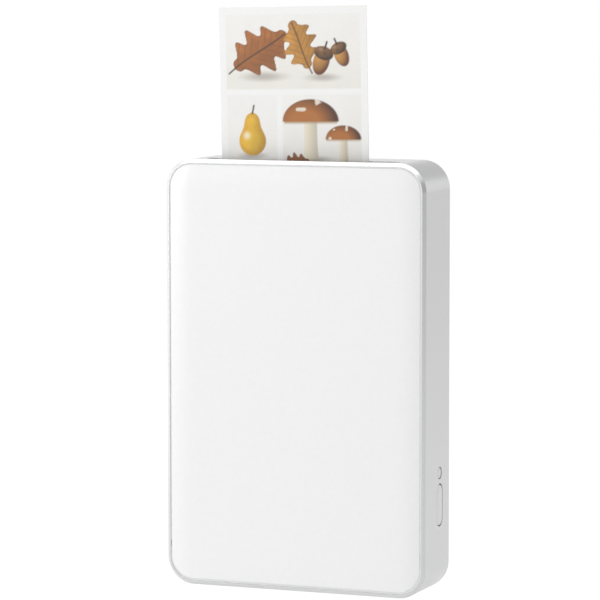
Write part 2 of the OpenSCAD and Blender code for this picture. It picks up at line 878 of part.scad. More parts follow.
module head_heat_sink() {
    slot_pitch = 7;
    slot_half = 1.2;
    color("lightgray") difference() {
        block([path_x - sink_half, sink_near, print_z - sink_half_h],
            [path_x + sink_half, head_near, print_z + sink_half_h]);
        for (i = [-3:3]) block([path_x + i * slot_pitch - slot_half, sink_near - over, print_z + 2.6],
            [path_x + i * slot_pitch + slot_half, sink_near + 1.2, print_z + sink_half_h + over]);
    }
}

// a leaf across the heat sink, set back a little between its screwed ends
module head_spring() {
    near = lug_near - spring_t;
    set = 0.4;
    foot = 5;
    ends = [head_screw_places()[0][0] - lug_reach, head_screw_places()[1][0] + lug_reach];
    line = [[ends[0], near], [ends[0] + foot, near], [path_x - 12, near + set],
        [path_x + 12, near + set], [ends[1] - foot, near], [ends[1], near]];
    color("silver") difference() {
        upright(print_z - spring_half_h, print_z + spring_half_h) ribbon(line, [0, spring_t]);
        for (at = head_screw_places()) stud(near - over, lug_near + over, at, bore_r);
    }
}

module head_screws() {
    seat = lug_near - spring_t;
    near = seat - small_head_t - fit;
    color("gray") for (at = head_screw_places()) {
        difference() {
            stud(near, seat, at, small_head_r);
            slab(near - over, near + drive_depth) translate(at) drive_cross();
        }
        stud(seat - eps, lug_far - 0.3, at, screw_r);
    }
}

// flat cable from the main board up the left side and forward to the print head
module head_flex() {
    run = pickup_at[0] + clip_r + 0.7;
    plug = board_near - 1.2;
    head = head_far + paper_gap;
    bend = [cable_t, -gap];
    line = [[plug, board_high - 1.35], [plug, board_high + 0.5], [run, board_high + 4],
        [run, print_z - 17], [platen_at[0] - 1.7, print_z - 5.6], [head, print_z - 2.8], [head, print_z + 3]];
    back = [line[0] + [cable_t, 0], line[1] + bend, line[2] + bend, line[3] - [-cable_t, bend[1]],
        line[4] + [gap, cable_t], line[5] + [cable_t, gap], line[6] + [cable_t, 0]];
    color("orange") across(cable_left, cable_left + cable_w)
        polygon(concat(line, [for (i = [len(back) - 1:-1:0]) back[i]]));
}

// ---------------------------------------------------------------- rollers

module roller_shaft(at) {
    rod(shaft_left, plane_1 + gear_face + 0.6, at, shaft_r);
}

module bushes(at) {
    for (side = [0, 1]) {
        plate = side == 0 ? left_out : right_in;
        flange = side == 0 ? left_in : right_in - bush_flange_t;
        difference() {
            union() {
                rod(plate, plate + side_t, at, bush_r);
                rod(flange, flange + bush_flange_t, at, bush_flange_r);
            }
            rod(left_out - over, right_out + over, at, shaft_r + fit);
        }
    }
}

// retaining ring, open on one side
module clip(at) {
    left = shaft_left + 0.4;
    difference() {
        collar(left, left + clip_t, at, clip_r, shaft_r);
        block([left - over, at[0] - shaft_r * 0.6, at[1] + shaft_r / 2],
            [left + clip_t + over, at[0] + shaft_r * 0.6, at[1] + clip_r + over]);
    }
}

module platen_shaft() { color("silver") roller_shaft(platen_at); }
module platen_rubber() {
    half = sheet_w / 2 - 0.2;
    color("black") collar(path_x - half, path_x + half, platen_at, platen_r, shaft_r);
}
module platen_bushes() { color("ivory") bushes(platen_at); }
module platen_clip() { color("silver") clip(platen_at); }
module pickup_shaft() { color("silver") roller_shaft(pickup_at); }
module pickup_hub() {
    color("ivory") collar(path_x - pickup_half, path_x + pickup_half, pickup_at, pickup_r - hub_t, shaft_r);
}
module pickup_tyre() {
    color("black") collar(path_x - pickup_half, path_x + pickup_half, pickup_at, pickup_r, pickup_r - hub_t);
}
module pickup_bushes() { color("ivory") bushes(pickup_at); }
module pickup_clip() { color("silver") clip(pickup_at); }

// ---------------------------------------------------------------- gears and motor

module platen_gear() { color("ivory") gear(plane_1, platen_at, platen_teeth, platen_phase, shaft_r); }
module pickup_gear() { color("ivory") gear(plane_1, pickup_at, pickup_teeth, pickup_phase, shaft_r); }
module idler_gear() {
    color("ivory") {
        gear(plane_1, idler_at, idler_teeth, idler_phase, pin_r + fit);
        collar(right_out + 0.2, plane_1 + eps, idler_at, 2, pin_r + fit);
    }
}

// a large gear and a small one on one hub
module double_gear(at, large, large_plane, phase, small_plane) {
    color("ivory") {
        gear(large_plane, at, large, phase, pin_r + fit);
        gear(small_plane, at, small_teeth, phase, pin_r + fit);
        collar(right_out + 0.2, gear_plate_x - 0.2, at, collar_r, pin_r + fit);
    }
}

module second_gear() { double_gear(second_at, second_teeth, plane_2, second_phase, plane_1); }
module first_gear() { double_gear(first_at, first_teeth, plane_3, first_phase, plane_2); }

module motor() {
    back = right_in - motor_l;
    color("silver") difference() {
        union() {
            flat_rod(back, right_in, motor_at, motor_r, motor_flat);
            rod(back - motor_cap_t, back + eps, motor_at, motor_cap_r);
            rod(right_in - eps, right_out, motor_at, motor_boss_r);
            for (side = [-1, 1]) motor_terminal(back, motor_at + [0, side * terminal_step]);
        }
        rod(back - 2, right_out + over, motor_at, motor_shaft_r + fit);
        for (at = motor_screw_places()) rod(right_in - 2, right_in + over, at, bore_r);
    }
}
module motor_terminal(back, at) {
    block([back - terminal_l, at[0] - terminal_w / 2, at[1] - terminal_t / 2],
        [back + eps, at[0] + terminal_w / 2, at[1] + terminal_t / 2]);
}
module motor_shaft() {
    color("silver") rod(right_in - motor_l - 0.8, plane_3 + gear_face + 0.3, motor_at, motor_shaft_r);
}
module motor_pinion() {
    color("gold") gear(plane_3, motor_at, pinion_teeth, pinion_phase, motor_shaft_r);
}
module motor_screws() {
    far = right_out + small_head_t;
    color("gray") for (at = motor_screw_places()) {
        difference() {
            rod(right_out, far, at, motor_head_r);
            across(far - drive_depth, far + over) translate(at) drive_cross();
        }
        rod(right_in - 1.8, right_out + eps, at, screw_r);
    }
}
module gear_pins() {
    color("silver") {
        rod(right_in, plane_1 + gear_face + 0.6, idler_at, pin_r);
        for (at = [second_at, first_at]) rod(right_in, gear_plate_x + gear_plate_t, at, pin_r);
    }
}

module gear_plate() {
    right = gear_plate_x + gear_plate_t;
    low = motor_at[1] - 6.2;
    high = pickup_z + 9.9;
    color("darkgray") difference() {
        across(gear_plate_x, right)
            polygon([[works_near, low + 2], [works_near + 2, low], [works_far, low], [works_far, high],
                [works_far - 3.6, high], [second_at[0] - 3, pickup_z - 6], [works_near, motor_at[1] + 2]]);
        for (at = [second_at, first_at]) rod(gear_plate_x - over, right + over, at, pin_r);
        for (at = standoff_places()) rod(gear_plate_x - over, right + over, at, bore_r);
        rod(gear_plate_x - over, right + over, motor_at, 1.2);
    }
}
module gear_plate_screws() {
    seat = gear_plate_x + gear_plate_t;
    far = seat + small_head_t;
    color("gray") for (at = standoff_places()) {
        difference() {
            rod(seat, far, at, small_head_r);
            across(far - drive_depth, far + over) translate(at) drive_cross();
        }
        rod(seat - 4.5, seat + eps, at, screw_r);
    }
}

// ---------------------------------------------------------------- electronics

module paper_sensor() {
    color("black") {
        slab(floor_near + 0.15, floor_far + 2.2) translate(sensor_at)
            square([sensor_w, sensor_h], center = true);
        slab(floor_far, floor_far + sensor_flange) translate(sensor_at)
            square([sensor_w + 2.6, sensor_h + 1.8], center = true);
    }
}

module main_board() {
    color("darkgreen") difference() {
        slab(board_near, board_far)
            translate([(board_left + board_right) / 2, (board_low + board_high) / 2])
            round_rect(board_right - board_left, board_h, board_r);
        for (at = board_places()) stud(board_near - over, board_far + over, at, bore_r);
    }
}

// a pressed can over the radio parts, with rows of small holes
module shield_can() {
    far = board_far + can_t;
    color("silver") difference() {
        slab(board_far, far) translate(can_at) round_rect(can_w, can_h, 0.8);
        for (i = [-1.5:1.5], j = [-1:1])
            stud(far - 0.4, far + over, can_at + [i * can_hole_step[0], j * can_hole_step[1]], can_hole_r);
    }
}

// chips, chokes and small parts behind the main board; memory and connectors in front of it
module board_parts() {
    color("black") {
        slab(board_far, board_far + chip_t) for (at = chip_places)
            translate(at) square(chip_w, center = true);
        slab(board_near - memory_t, board_near) translate(memory_at) square(memory_w, center = true);
        block([cable_left - gap, board_near - cable_socket_t, cable_socket_high - cable_socket_h],
            [cable_left + cable_w + gap, board_near, cable_socket_high]);
        block([plug_x[0], board_near - plug_t, plug_low], [plug_x[1], board_near, plug_high]);
        for (i = [0:3]) stud(board_far, board_far + choke_t, choke_low + [0, choke_step * i], choke_r);
        slab(board_far, board_far + small_part[1]) for (i = [0:3], j = [0:1])
            translate(small_low + [small_step[0] * i, small_step[1] * j])
                square([small_part[0], small_part[2]]);
    }
}

module board_screws() {
    far = board_far + head_t;
    color("gray") for (at = board_places()) {
        difference() {
            stud(board_far, far, at, head_r);
            slab(far - drive_depth, far + over) translate(at) drive_cross();
        }
        stud(board_far - 5, board_far + eps, at, screw_r);
    }
}

// a metal shell with its tongue
module usb_socket() {
    mouth = 0.4;
    floor_z = 6.2;
    tongue = [3.2, 0.35];
    color("silver") difference() {
        upright(mouth, 8) translate([usb_x, usb_depth]) pill(usb_w, usb_t);
        upright(mouth - over, floor_z) translate([usb_x, usb_depth])
            pill(usb_w - 2 * usb_shell, usb_t - 2 * usb_shell);
    }
    color("black") block([usb_x - tongue[0], usb_depth - tongue[1], mouth + 0.8],
        [usb_x + tongue[0], usb_depth + tongue[1], floor_z + gap]);
}

module switch_body() {
    color("dimgray") difference() {
        block([switch_right - 3.6, control_depth - 1.4, button_z - switch_half_h],
            [switch_right, board_near, button_z + switch_half_h]);
        block([switch_right - 1, control_depth - 1, button_z - 1.3],
            [switch_right + over, control_depth + 1, button_z + 1.3]);
    }
}

module switch_plunger() {
    half = 0.9;
    color("black") block([switch_right - 0.5, control_depth - half, button_z - 1.2],
        [plunger_right, control_depth + half, button_z + 1.2]);
}

module power_button() {
    flange_right = body_w / 2 - wall - gap;
    color("silver") {
        across(flange_right - eps, body_w / 2 + gap)
            translate([control_depth, button_z]) rotate(90) pill(button_l, button_w);
        across(flange_right - button_flange, flange_right)
            translate([control_depth, button_z]) rotate(90) pill(button_l + 1.8, button_w + 1.6);
        block([plunger_right, control_depth - 1, button_z - 1.6],
            [flange_right - button_flange + eps, control_depth + 1, button_z + 1.6]);
    }
}

module status_led() {
    left = board_right - 1.4;
    color("ivory") block([left, control_depth - 1.2, light_z - 1.6], [left + 2.4, board_near, light_z + 1.6]);
}

module light_pipe() {
    inner = body_w / 2 - wall;
    color("white") {
        rod(board_right + 1.1, body_w / 2 - 0.2, [control_depth, light_z], light_d / 2);
        rod(inner - 1, inner, [control_depth, light_z], light_d / 2 + 0.5);
    }
}

// a pouch cell with rounded sides, and at its foot the fold that the leads leave
module battery() {
    middle = [battery_left + battery_w / 2, floor_far + battery_gap + battery_t / 2];
    color("lightsteelblue") {
        upright(battery_low + pouch_fold, battery_high) translate(middle)
            round_rect(battery_w, battery_t, pouch_r);
        upright(battery_low, battery_low + pouch_fold + eps) translate(middle)
            square([battery_w - 4, pouch_fold_t], center = true);
    }
}

module battery_tape() {
    edge = 4;
    color("khaki") block([battery_left + edge, floor_far, battery_low + edge],
        [battery_left + battery_w - edge, floor_far + battery_gap, battery_high - edge]);
}

// two short leads from the battery down to its plug on the board
module battery_leads() {
    depth = board_near - 1.8;
    color("crimson") for (i = [0, 1]) {
        from = [battery_left + battery_w - 5 + lead_pitch * i, battery_low - fit];
        to = [plug_x[0] + 2.6 + lead_pitch * i, plug_high + fit];
        run_z = board_high + 0.5 + 1.3 * i;
        for (end = [from, to]) {
            translate([end[0], yd(depth), min(end[1], run_z)]) cylinder(r = lead_r, h = abs(end[1] - run_z));
            translate([end[0], yd(depth), run_z]) sphere(lead_r);
        }
        rod(from[0], to[0], [depth, run_z], lead_r);
    }
}

mid_frame();
back_plate();
chassis();
tray_floor();
front_cover();
cover_magnets();
chassis_magnets();
hinge_pins();
pressure_plate();
plate_springs();
paper_stack();
printed_sheet();
separation_pad();
print_head();
head_heat_sink();
head_spring();
head_screws();
head_flex();
platen_shaft();
platen_rubber();
platen_bushes();
platen_clip();
pickup_shaft();
pickup_hub();
pickup_tyre();
pickup_bushes();
pickup_clip();
platen_gear();
idler_gear();
pickup_gear();
second_gear();
first_gear();
motor();
motor_shaft();
motor_pinion();
motor_screws();
gear_pins();
gear_plate();
gear_plate_screws();
paper_sensor();
main_board();
shield_can();
board_parts();
board_screws();
usb_socket();
switch_body();
switch_plunger();
power_button();
status_led();
light_pipe();
battery();
battery_tape();
battery_leads();
chassis_screws();
back_screws();
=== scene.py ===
"""Looks of a compact photo printer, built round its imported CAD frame.

Lengths are millimetres in the printer's own terms (x across, depth behind the front rim,
height above the table) and become metres only when a mesh is made.
"""

import logging
import math
from dataclasses import dataclass, field
from enum import Enum
from typing import Any, Callable, Iterable, Optional, Sequence

import bmesh
import bpy
import numpy as np
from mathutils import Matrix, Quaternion, Vector

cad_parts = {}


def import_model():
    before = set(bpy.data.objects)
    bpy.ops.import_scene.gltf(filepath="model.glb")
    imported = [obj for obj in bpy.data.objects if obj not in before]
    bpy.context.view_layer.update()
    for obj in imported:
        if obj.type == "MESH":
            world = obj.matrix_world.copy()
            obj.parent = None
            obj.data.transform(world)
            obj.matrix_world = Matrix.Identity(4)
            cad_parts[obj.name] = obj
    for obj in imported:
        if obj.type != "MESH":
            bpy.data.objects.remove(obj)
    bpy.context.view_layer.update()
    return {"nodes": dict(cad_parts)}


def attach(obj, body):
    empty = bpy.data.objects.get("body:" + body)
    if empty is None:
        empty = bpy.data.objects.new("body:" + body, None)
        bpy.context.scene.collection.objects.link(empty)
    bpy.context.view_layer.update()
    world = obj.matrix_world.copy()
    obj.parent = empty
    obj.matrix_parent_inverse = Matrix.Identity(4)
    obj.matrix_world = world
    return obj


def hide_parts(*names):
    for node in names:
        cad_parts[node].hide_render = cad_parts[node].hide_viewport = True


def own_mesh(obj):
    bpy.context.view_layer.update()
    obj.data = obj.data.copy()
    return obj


LOG = logging.getLogger("photo_printer")
MM = 0.001
BODY_DEPTH = 23.8
SMOOTH_DEG = 35.0  # edges that turn by less than this are shaded smooth
MERGE_MM = 0.001  # points nearer than this become one
ROUND_STEPS = 48  # points on the circles of small turned pieces
BUMP_STRENGTH = 0.6  # how strongly the fine pattern tilts the light
SCATTER_MM = 0.8  # how far light wanders inside a milky plastic
LATTICE = 256  # cells of the noise before it repeats
LATTICE_START = 60  # cells before the origin, so that no place is negative
Array = np.ndarray
Tree = bpy.types.NodeTree
Socket = bpy.types.NodeSocket


# ------------------------------------------------------------------ colour and nodes


def linear(code: str) -> tuple[float, float, float, float]:
    """Turns an sRGB hex colour into linear light.

    Each channel c becomes c / 12.92 up to 0.04045, and ((c + 0.055) / 1.055) to the
    power of 2.4 above it.

    Args:
        code: The colour as "#RRGGBB".

    Returns:
        Red, green, blue and an alpha of 1.
    """
    parts = [int(code[i : i + 2], 16) / 255 for i in (1, 3, 5)]
    bent = [c / 12.92 if c <= 0.04045 else ((c + 0.055) / 1.055) ** 2.4 for c in parts]
    return (bent[0], bent[1], bent[2], 1.0)


def rgb(code: str) -> Array:
    """The linear red, green and blue of an sRGB hex colour."""
    return np.array(linear(code)[:3])


def add_node(
    tree: Tree,
    kind: str,
    values: Optional[dict[Any, Any]] = None,
    links: Optional[dict[Any, Socket]] = None,
    **settings: Any,
) -> bpy.types.Node:
    """Adds one node with its settings, its socket values and its incoming links.

    Args:
        tree: The node tree that takes the node.
        kind: The node's type name.
        values: Input socket name or number, and the value it gets.
        links: Input socket name or number, and the output socket that feeds it.
        **settings: Properties of the node itself.

    Returns:
        The new node.
    """
    node = tree.nodes.new(kind)
    for name, value in settings.items():
        setattr(node, name, value)
    for name, value in (values or {}).items():
        node.inputs[name].default_value = value
    for name, socket in (links or {}).items():
        tree.links.new(socket, node.inputs[name])
    return node


def add_math(tree: Tree, operation: str, *terms: float | Socket, **settings: Any) -> Socket:
    """Adds a math node.

    Args:
        tree: The node tree.
        operation: What it works out.
        *terms: Its inputs in order, each a number or a socket.
        **settings: Other properties of the node.

    Returns:
        The result.
    """
    values = {i: term for i, term in enumerate(terms) if isinstance(term, (int, float))}
    links = {i: term for i, term in enumerate(terms) if i not in values}
    node = add_node(tree, "ShaderNodeMath", values, links, operation=operation, **settings)
    return node.outputs[0]


def add_mix(
    tree: Tree,
    share: float | Socket,
    first: str | Socket,
    second: str | Socket,
    blend: str = "MIX",
) -> Socket:
    """Adds a node that mixes two colours.

    Args:
        tree: The node tree.
        share: Share of the second colour, a number or a socket.
        first: First colour, sRGB hex or a socket.
        second: Second colour, likewise.
        blend: How they mix.

    Returns:
        The mixed colour.
    """
    terms = {0: share, 6: first, 7: second}
    values = {
        key: linear(term) if isinstance(term, str) else term
        for key, term in terms.items()
        if isinstance(term, (str, float))
    }
    links = {key: term for key, term in terms.items() if key not in values}
    node = add_node(
        tree, "ShaderNodeMix", values, links, data_type="RGBA", blend_type=blend
    )
    return node.outputs[2]


def coordinate(tree: Tree, axis: int) -> Socket:
    """The object's own x, y or z coordinate, for an axis of 0, 1 or 2."""
    where = add_node(tree, "ShaderNodeTexCoord").outputs["Object"]
    return add_node(tree, "ShaderNodeSeparateXYZ", links={0: where}).outputs[axis]


def new_material(name: str, surface: Callable[[Tree], Socket]) -> bpy.types.Material:
    """Makes a material.

    Args:
        name: Its name.
        surface: Builds its nodes in a tree and gives back the shader.

    Returns:
        The material.
    """
    made = bpy.data.materials.new(name)
    made.use_nodes = True
    tree = made.node_tree
    tree.nodes.clear()
    add_node(tree, "ShaderNodeOutputMaterial", links={"Surface": surface(tree)})
    return made


def new_object(name: str, data: bpy.types.ID) -> bpy.types.Object:
    """Puts an object with this data into the scene.

    Args:
        name: The object's name.
        data: Its mesh, lamp or camera.

    Returns:
        The object.
    """
    made = bpy.data.objects.new(name, data)
    bpy.context.scene.collection.objects.link(made)
    return made


# ------------------------------------------------------------------ finishes


class Grain(Enum):
    """The way a fine pattern runs over a surface."""

    SPECKLED = "speckled"
    ALONG_X = "along_x"
    CELLS = "cells"


@dataclass(frozen=True)
class Finish:
    """One real surface: its colour, its gloss and the fine pattern that it shows.

    Attributes:
        name: The material's name.
        base: Main colour, sRGB hex.
        shade: Colour in the low places of the pattern, sRGB hex.
        roughness: Roughness of the high places.
        dull: Roughness of the low places.
        metallic: 1 for bare metal, 0 for anything else.
        grain: Which way the pattern runs.
        grain_mm: Size of the pattern's features.
        relief_mm: Height of the pattern's bumps.
        drift_mm: Size of the slow colour drift that moulding or handling leaves.
        drift: How strong that drift is, from 0 to 1.
        ior: Index of refraction; metals keep the default.
        coat: Weight of a clear coat.
        coat_roughness: Roughness of that coat.
        glow_through: Subsurface weight, for milky plastics.
    """

    name: str
    base: str
    shade: str
    roughness: float
    dull: float
    metallic: float = 0.0
    grain: Grain = Grain.SPECKLED
    grain_mm: float = 0.3
    relief_mm: float = 0.004
    drift_mm: float = 22.0
    drift: float = 0.25
    ior: float = 1.5
    coat: float = 0.0
    coat_roughness: float = 0.1
    glow_through: float = 0.0

    def material(self) -> bpy.types.Material:
        """The material of this finish."""
        return new_material(self.name, self.surface)

    def surface(self, tree: Tree) -> Socket:
        """Builds the nodes of this finish.

        The fine pattern plus a share of the slow drift leads from the main colour and
        gloss to those of the low places, and the fine pattern alone gives the bumps.

        Args:
            tree: The node tree.

        Returns:
            The shader.
        """
        grain = self.pattern(tree)
        drift = add_math(tree, "MULTIPLY", self.slow_drift(tree), self.drift)
        both = add_math(tree, "ADD", grain, drift, use_clamp=True)
        gloss = add_node(
            tree, "ShaderNodeMapRange", {3: self.roughness, 4: self.dull}, {0: both}
        )
        bump = add_node(
            tree,
            "ShaderNodeBump",
            {"Strength": BUMP_STRENGTH, "Distance": self.relief_mm * MM},
            {"Height": grain},
            invert=True,
        )
        shader = add_node(
            tree,
            "ShaderNodeBsdfPrincipled",
            {
                "Metallic": self.metallic,
                "IOR": self.ior,
                "Coat Weight": self.coat,
                "Coat Roughness": self.coat_roughness,
                "Subsurface Weight": self.glow_through,
                "Subsurface Radius": (1.0, 1.0, 1.0),
                "Subsurface Scale": SCATTER_MM * MM,
            },
            {
                "Base Color": self.dressed(tree, add_mix(tree, both, self.base, self.shade)),
                "Roughness": gloss.outputs[0],
                "Normal": bump.outputs[0],
            },
        )
        return shader.outputs[0]

    def place(self, tree: Tree, size_mm: float) -> Socket:
        """Object coordinates, scaled to features of one size.

        Args:
            tree: The node tree.
            size_mm: Size of a feature; along a rolled or drawn surface it is 25 times.

        Returns:
            The scaled vector.
        """
        where = add_node(tree, "ShaderNodeTexCoord")
        per_metre = 1 / size_mm / MM
        along = 0.04 if self.grain is Grain.ALONG_X else 1.0
        scale = (per_metre * along, per_metre, per_metre)
        turned = add_node(
            tree, "ShaderNodeMapping", {"Scale": scale}, {0: where.outputs["Object"]}
        )
        return turned.outputs[0]

    def pattern(self, tree: Tree) -> Socket:
        """The fine pattern, from 0 on high places to 1 in low ones.

        Args:
            tree: The node tree.

        Returns:
            The pattern's value.
        """
        place = {"Vector": self.place(tree, self.grain_mm)}
        if self.grain is Grain.CELLS:
            raw = add_node(tree, "ShaderNodeTexVoronoi", {"Scale": 1.0}, place)
        else:
            values = {"Scale": 1.0, "Detail": 3.0, "Roughness": 0.6}
            raw = add_node(tree, "ShaderNodeTexNoise", values, place)
        # The raw pattern mostly lies between 0.35 and 0.75, so that part fills 0 to 1.
        clear = add_node(
            tree, "ShaderNodeMapRange", {1: 0.35, 2: 0.75}, {0: raw.outputs[0]}
        )
        return clear.outputs[0]

    def slow_drift(self, tree: Tree) -> Socket:
        """The slow change of tone over the piece.

        Args:
            tree: The node tree.

        Returns:
            The drift's value, from 0 to 1.
        """
        place = {"Vector": self.place(tree, self.drift_mm)}
        values = {"Scale": 1.0, "Detail": 1.0}
        return add_node(tree, "ShaderNodeTexNoise", values, place).outputs[0]

    def dressed(self, tree: Tree, colour: Socket) -> Socket:
        """Marks laid over the plain colour; a plain finish has none."""
        return colour


@dataclass(frozen=True)
class Striped(Finish):
    """A finish with straight lines at an even pitch, such as copper tracks.

    Attributes:
        line: Colour of the lines, sRGB hex.
        pitch_mm: From one line to the next.
        share: Share of the pitch that a line takes.
        axis: 0, 1 or 2 for lines stepped along x, y or z.
        waver: How far the lines bend, in pitches.
    """

    line: str = "#000000"
    pitch_mm: float = 0.5
    share: float = 0.5
    axis: int = 0
    waver: float = 0.0

    def dressed(self, tree: Tree, colour: Socket) -> Socket:
        """Lays the lines over the plain colour.

        The line is where the coordinate over the pitch, less its whole part, is under
        the line's share.

        Args:
            tree: The node tree.
            colour: The plain colour.

        Returns:
            The striped colour.
        """
        where = add_node(tree, "ShaderNodeTexCoord").outputs["Object"]
        bend = add_node(
            tree, "ShaderNodeTexNoise", {"Scale": 120.0, "Detail": 0.0}, {"Vector": where}
        )
        steps = add_math(
            tree, "MULTIPLY", coordinate(tree, self.axis), 1 / (self.pitch_mm * MM)
        )
        moved = add_math(tree, "MULTIPLY_ADD", bend.outputs[0], self.waver, steps)
        part = add_math(tree, "FRACT", moved)
        return add_mix(tree, add_math(tree, "LESS_THAN", part, self.share), colour, self.line)


@dataclass(frozen=True)
class Banded(Finish):
    """A finish with one band of another colour between two places on an axis.

    Attributes:
        band: Colour of the band, sRGB hex.
        axis: 0, 1 or 2 for a band across x, y or z.
        low_mm: Where the band starts.
        high_mm: Where it ends.
    """

    band: str = "#000000"
    axis: int = 2
    low_mm: float = 0.0
    high_mm: float = 1.0

    def dressed(self, tree: Tree, colour: Socket) -> Socket:
        """Lays the band over the plain colour.

        A place is in the band where its distance from the band's middle is under half
        the band's width.

        Args:
            tree: The node tree.
            colour: The plain colour.

        Returns:
            The banded colour.
        """
        middle = (self.low_mm + self.high_mm) / 2 * MM
        half = (self.high_mm - self.low_mm) / 2 * MM
        inside = add_math(tree, "COMPARE", coordinate(tree, self.axis), middle, half)
        return add_mix(tree, inside, colour, self.band)


@dataclass(frozen=True)
class Painted(Finish):
    """A print whose colours are stored on the mesh, dot by dot.

    Attributes:
        layer: Name of the colour layer on the mesh.
    """

    layer: str = "ink"

    def dressed(self, tree: Tree, colour: Socket) -> Socket:
        """Lays the ink on the paper by multiplying the two colours."""
        ink = add_node(tree, "ShaderNodeAttribute", attribute_name=self.layer)
        return add_mix(tree, 1.0, colour, ink.outputs["Color"], "MULTIPLY")


# ABS sprayed with satin silver paint: flakes of 0.05 mm give a soft sparkle. They are
# drawn 0.12 mm wide, because real ones are too fine to show in the render.
SILVER_PAINT = Finish(
    "silver_paint", "#DADADB", "#D1D1D2", 0.23, 0.3, metallic=0.75,
    grain_mm=0.12, relief_mm=0.0012, drift=0.1,
)
# UV-lacquered white ABS: even and slightly glossy, with the faintest orange peel.
PEARL_WHITE = Finish(
    "pearl_white", "#F4F4F4", "#F2F2F2", 0.3, 0.34, grain_mm=1.6,
    relief_mm=0.0004, drift=0.1, coat=0.3, coat_roughness=0.16,
)
# Black PC-ABS from a spark-eroded mould: matt, with a fine even grain.
BLACK_MOULDED = Finish(
    "black_moulded", "#1C1D1F", "#141516", 0.55, 0.7, grain_mm=0.18, relief_mm=0.01,
)
# Natural acetal, moulded: slippery, off-white and a little translucent.
ACETAL = Finish(
    "natural_acetal", "#E6E2D6", "#DCD7C8", 0.32, 0.42, grain_mm=0.8,
    relief_mm=0.002, glow_through=0.12, ior=1.48,
)
# Cold-rolled steel strip: fine parallel rolling marks.
ROLLED_STEEL = Finish(
    "rolled_steel", "#BFC0C2", "#9C9EA1", 0.24, 0.4, metallic=1.0,
    grain=Grain.ALONG_X, grain_mm=0.1, relief_mm=0.001,
)
# Steel with black oxide: dark, with rubbed places where tools touched it.
BLACK_OXIDE = Finish(
    "black_oxide", "#3A3A3C", "#262628", 0.36, 0.5, metallic=1.0,
    grain_mm=0.25, relief_mm=0.003, drift=0.5, drift_mm=1.5,
)
# Nickel plate on magnets and back screws: warm grey and almost a mirror.
NICKEL = Finish(
    "nickel_plate", "#B9B6B0", "#A5A29B", 0.2, 0.3, metallic=1.0,
    grain_mm=0.2, relief_mm=0.001,
)
# Resin-coated photo paper: smooth and faintly glossy, with a slight fibre under it.
PHOTO_PAPER = Finish(
    "photo_paper", "#F3F3F1", "#EEEEEB", 0.42, 0.5, grain_mm=0.4, relief_mm=0.002,
    coat=0.15, coat_roughness=0.3,
)
# The same paper with an image fixed under its clear top layer.
PRINTED_PAPER = Painted(
    "printed_paper", "#F5F5F4", "#F0F0EE", 0.36, 0.42, grain_mm=0.4, relief_mm=0.001,
    coat=0.2, coat_roughness=0.25,
)
# Cork bound with rubber: grains of about half a millimetre.
FRICTION_CORK = Finish(
    "friction_cork", "#6A5138", "#3B2C1E", 0.85, 0.95, grain=Grain.CELLS,
    grain_mm=0.55, relief_mm=0.05,
)
# Alumina with a glassy glaze: the heated line is a brown band.
GLAZED_ALUMINA = Banded(
    "glazed_alumina", "#E7E1D3", "#DDD6C6", 0.2, 0.3, grain_mm=0.5, relief_mm=0.001,
    band="#5B3A24", axis=2, low_mm=120.6, high_mm=121.4,
)
# Extruded aluminium, plain: die lines along the extrusion.
EXTRUDED_ALUMINIUM = Finish(
    "extruded_aluminium", "#C9CBCD", "#AEB1B4", 0.3, 0.46, metallic=1.0,
    grain=Grain.ALONG_X, grain_mm=0.16, relief_mm=0.002,
)
# Polyimide film over copper tracks half a millimetre apart.
POLYIMIDE = Striped(
    "polyimide_film", "#B9752A", "#A8651E", 0.22, 0.32, grain_mm=0.6,
    relief_mm=0.001, coat=0.4, line="#8A4A16", pitch_mm=0.5, share=0.5, axis=0,
)
# Silicone rubber, ground: matt black with fine rings from the wheel.
GROUND_RUBBER = Finish(
    "ground_rubber", "#2A2A2B", "#1B1B1C", 0.72, 0.86, grain_mm=0.09,
    relief_mm=0.008,
)
# Hobbed brass: yellow and bright, with fine marks of the cutter.
BRASS = Finish(
    "hobbed_brass", "#CDB26A", "#B39443", 0.22, 0.34, metallic=1.0,
    grain=Grain.ALONG_X, grain_mm=0.12, relief_mm=0.001,
)
# Epoxy board under green solder mask: tracks show as lighter lines.
SOLDER_MASK = Striped(
    "solder_mask", "#14512F", "#0F4426", 0.24, 0.34, grain_mm=0.9, relief_mm=0.003,
    coat=0.4, line="#1D6B40", pitch_mm=0.9, share=0.34, axis=0, waver=2.2,
)
# Epoxy moulding compound of chips and connectors: black, matt and finely sandy.
CHIP_EPOXY = Finish(
    "chip_epoxy", "#232325", "#19191B", 0.5, 0.62, grain_mm=0.12, relief_mm=0.004,
)
# Milky polycarbonate that carries the light to the side: glossy and softly lit.
MILKY_LENS = Finish(
    "milky_lens", "#E9EAE8", "#E2E3E1", 0.18, 0.26, grain_mm=1.2, relief_mm=0.001,
    glow_through=0.35, ior=1.58, coat=0.3,
)
# Aluminium-laminate pouch: soft metallic sheen with wrinkles of a few millimetres.
POUCH_FOIL = Finish(
    "pouch_foil", "#B4B8BE", "#A3A7AE", 0.3, 0.42, metallic=0.8, grain_mm=2.6,
    relief_mm=0.08, drift_mm=9.0,
)
# Double-sided tape: straw-coloured foam, finely woven backing.
FOAM_TAPE = Finish(
    "foam_tape", "#DCCB98", "#C9B681", 0.8, 0.9, grain=Grain.CELLS, grain_mm=0.3,
    relief_mm=0.02,
)
# Red silicone insulation: slightly glossy, with talc left in its pores.
RED_LEAD = Finish(
    "red_insulation", "#B3261C", "#951B13", 0.42, 0.52, grain_mm=0.4, relief_mm=0.002,
)
# Soft pale elastomer of the seam's lip: matt, so that the seam stays faint.
SEAL_RUBBER = Finish(
    "seal_elastomer", "#E6E7E7", "#DFE0E0", 0.42, 0.5, grain_mm=0.2, relief_mm=0.001,
)
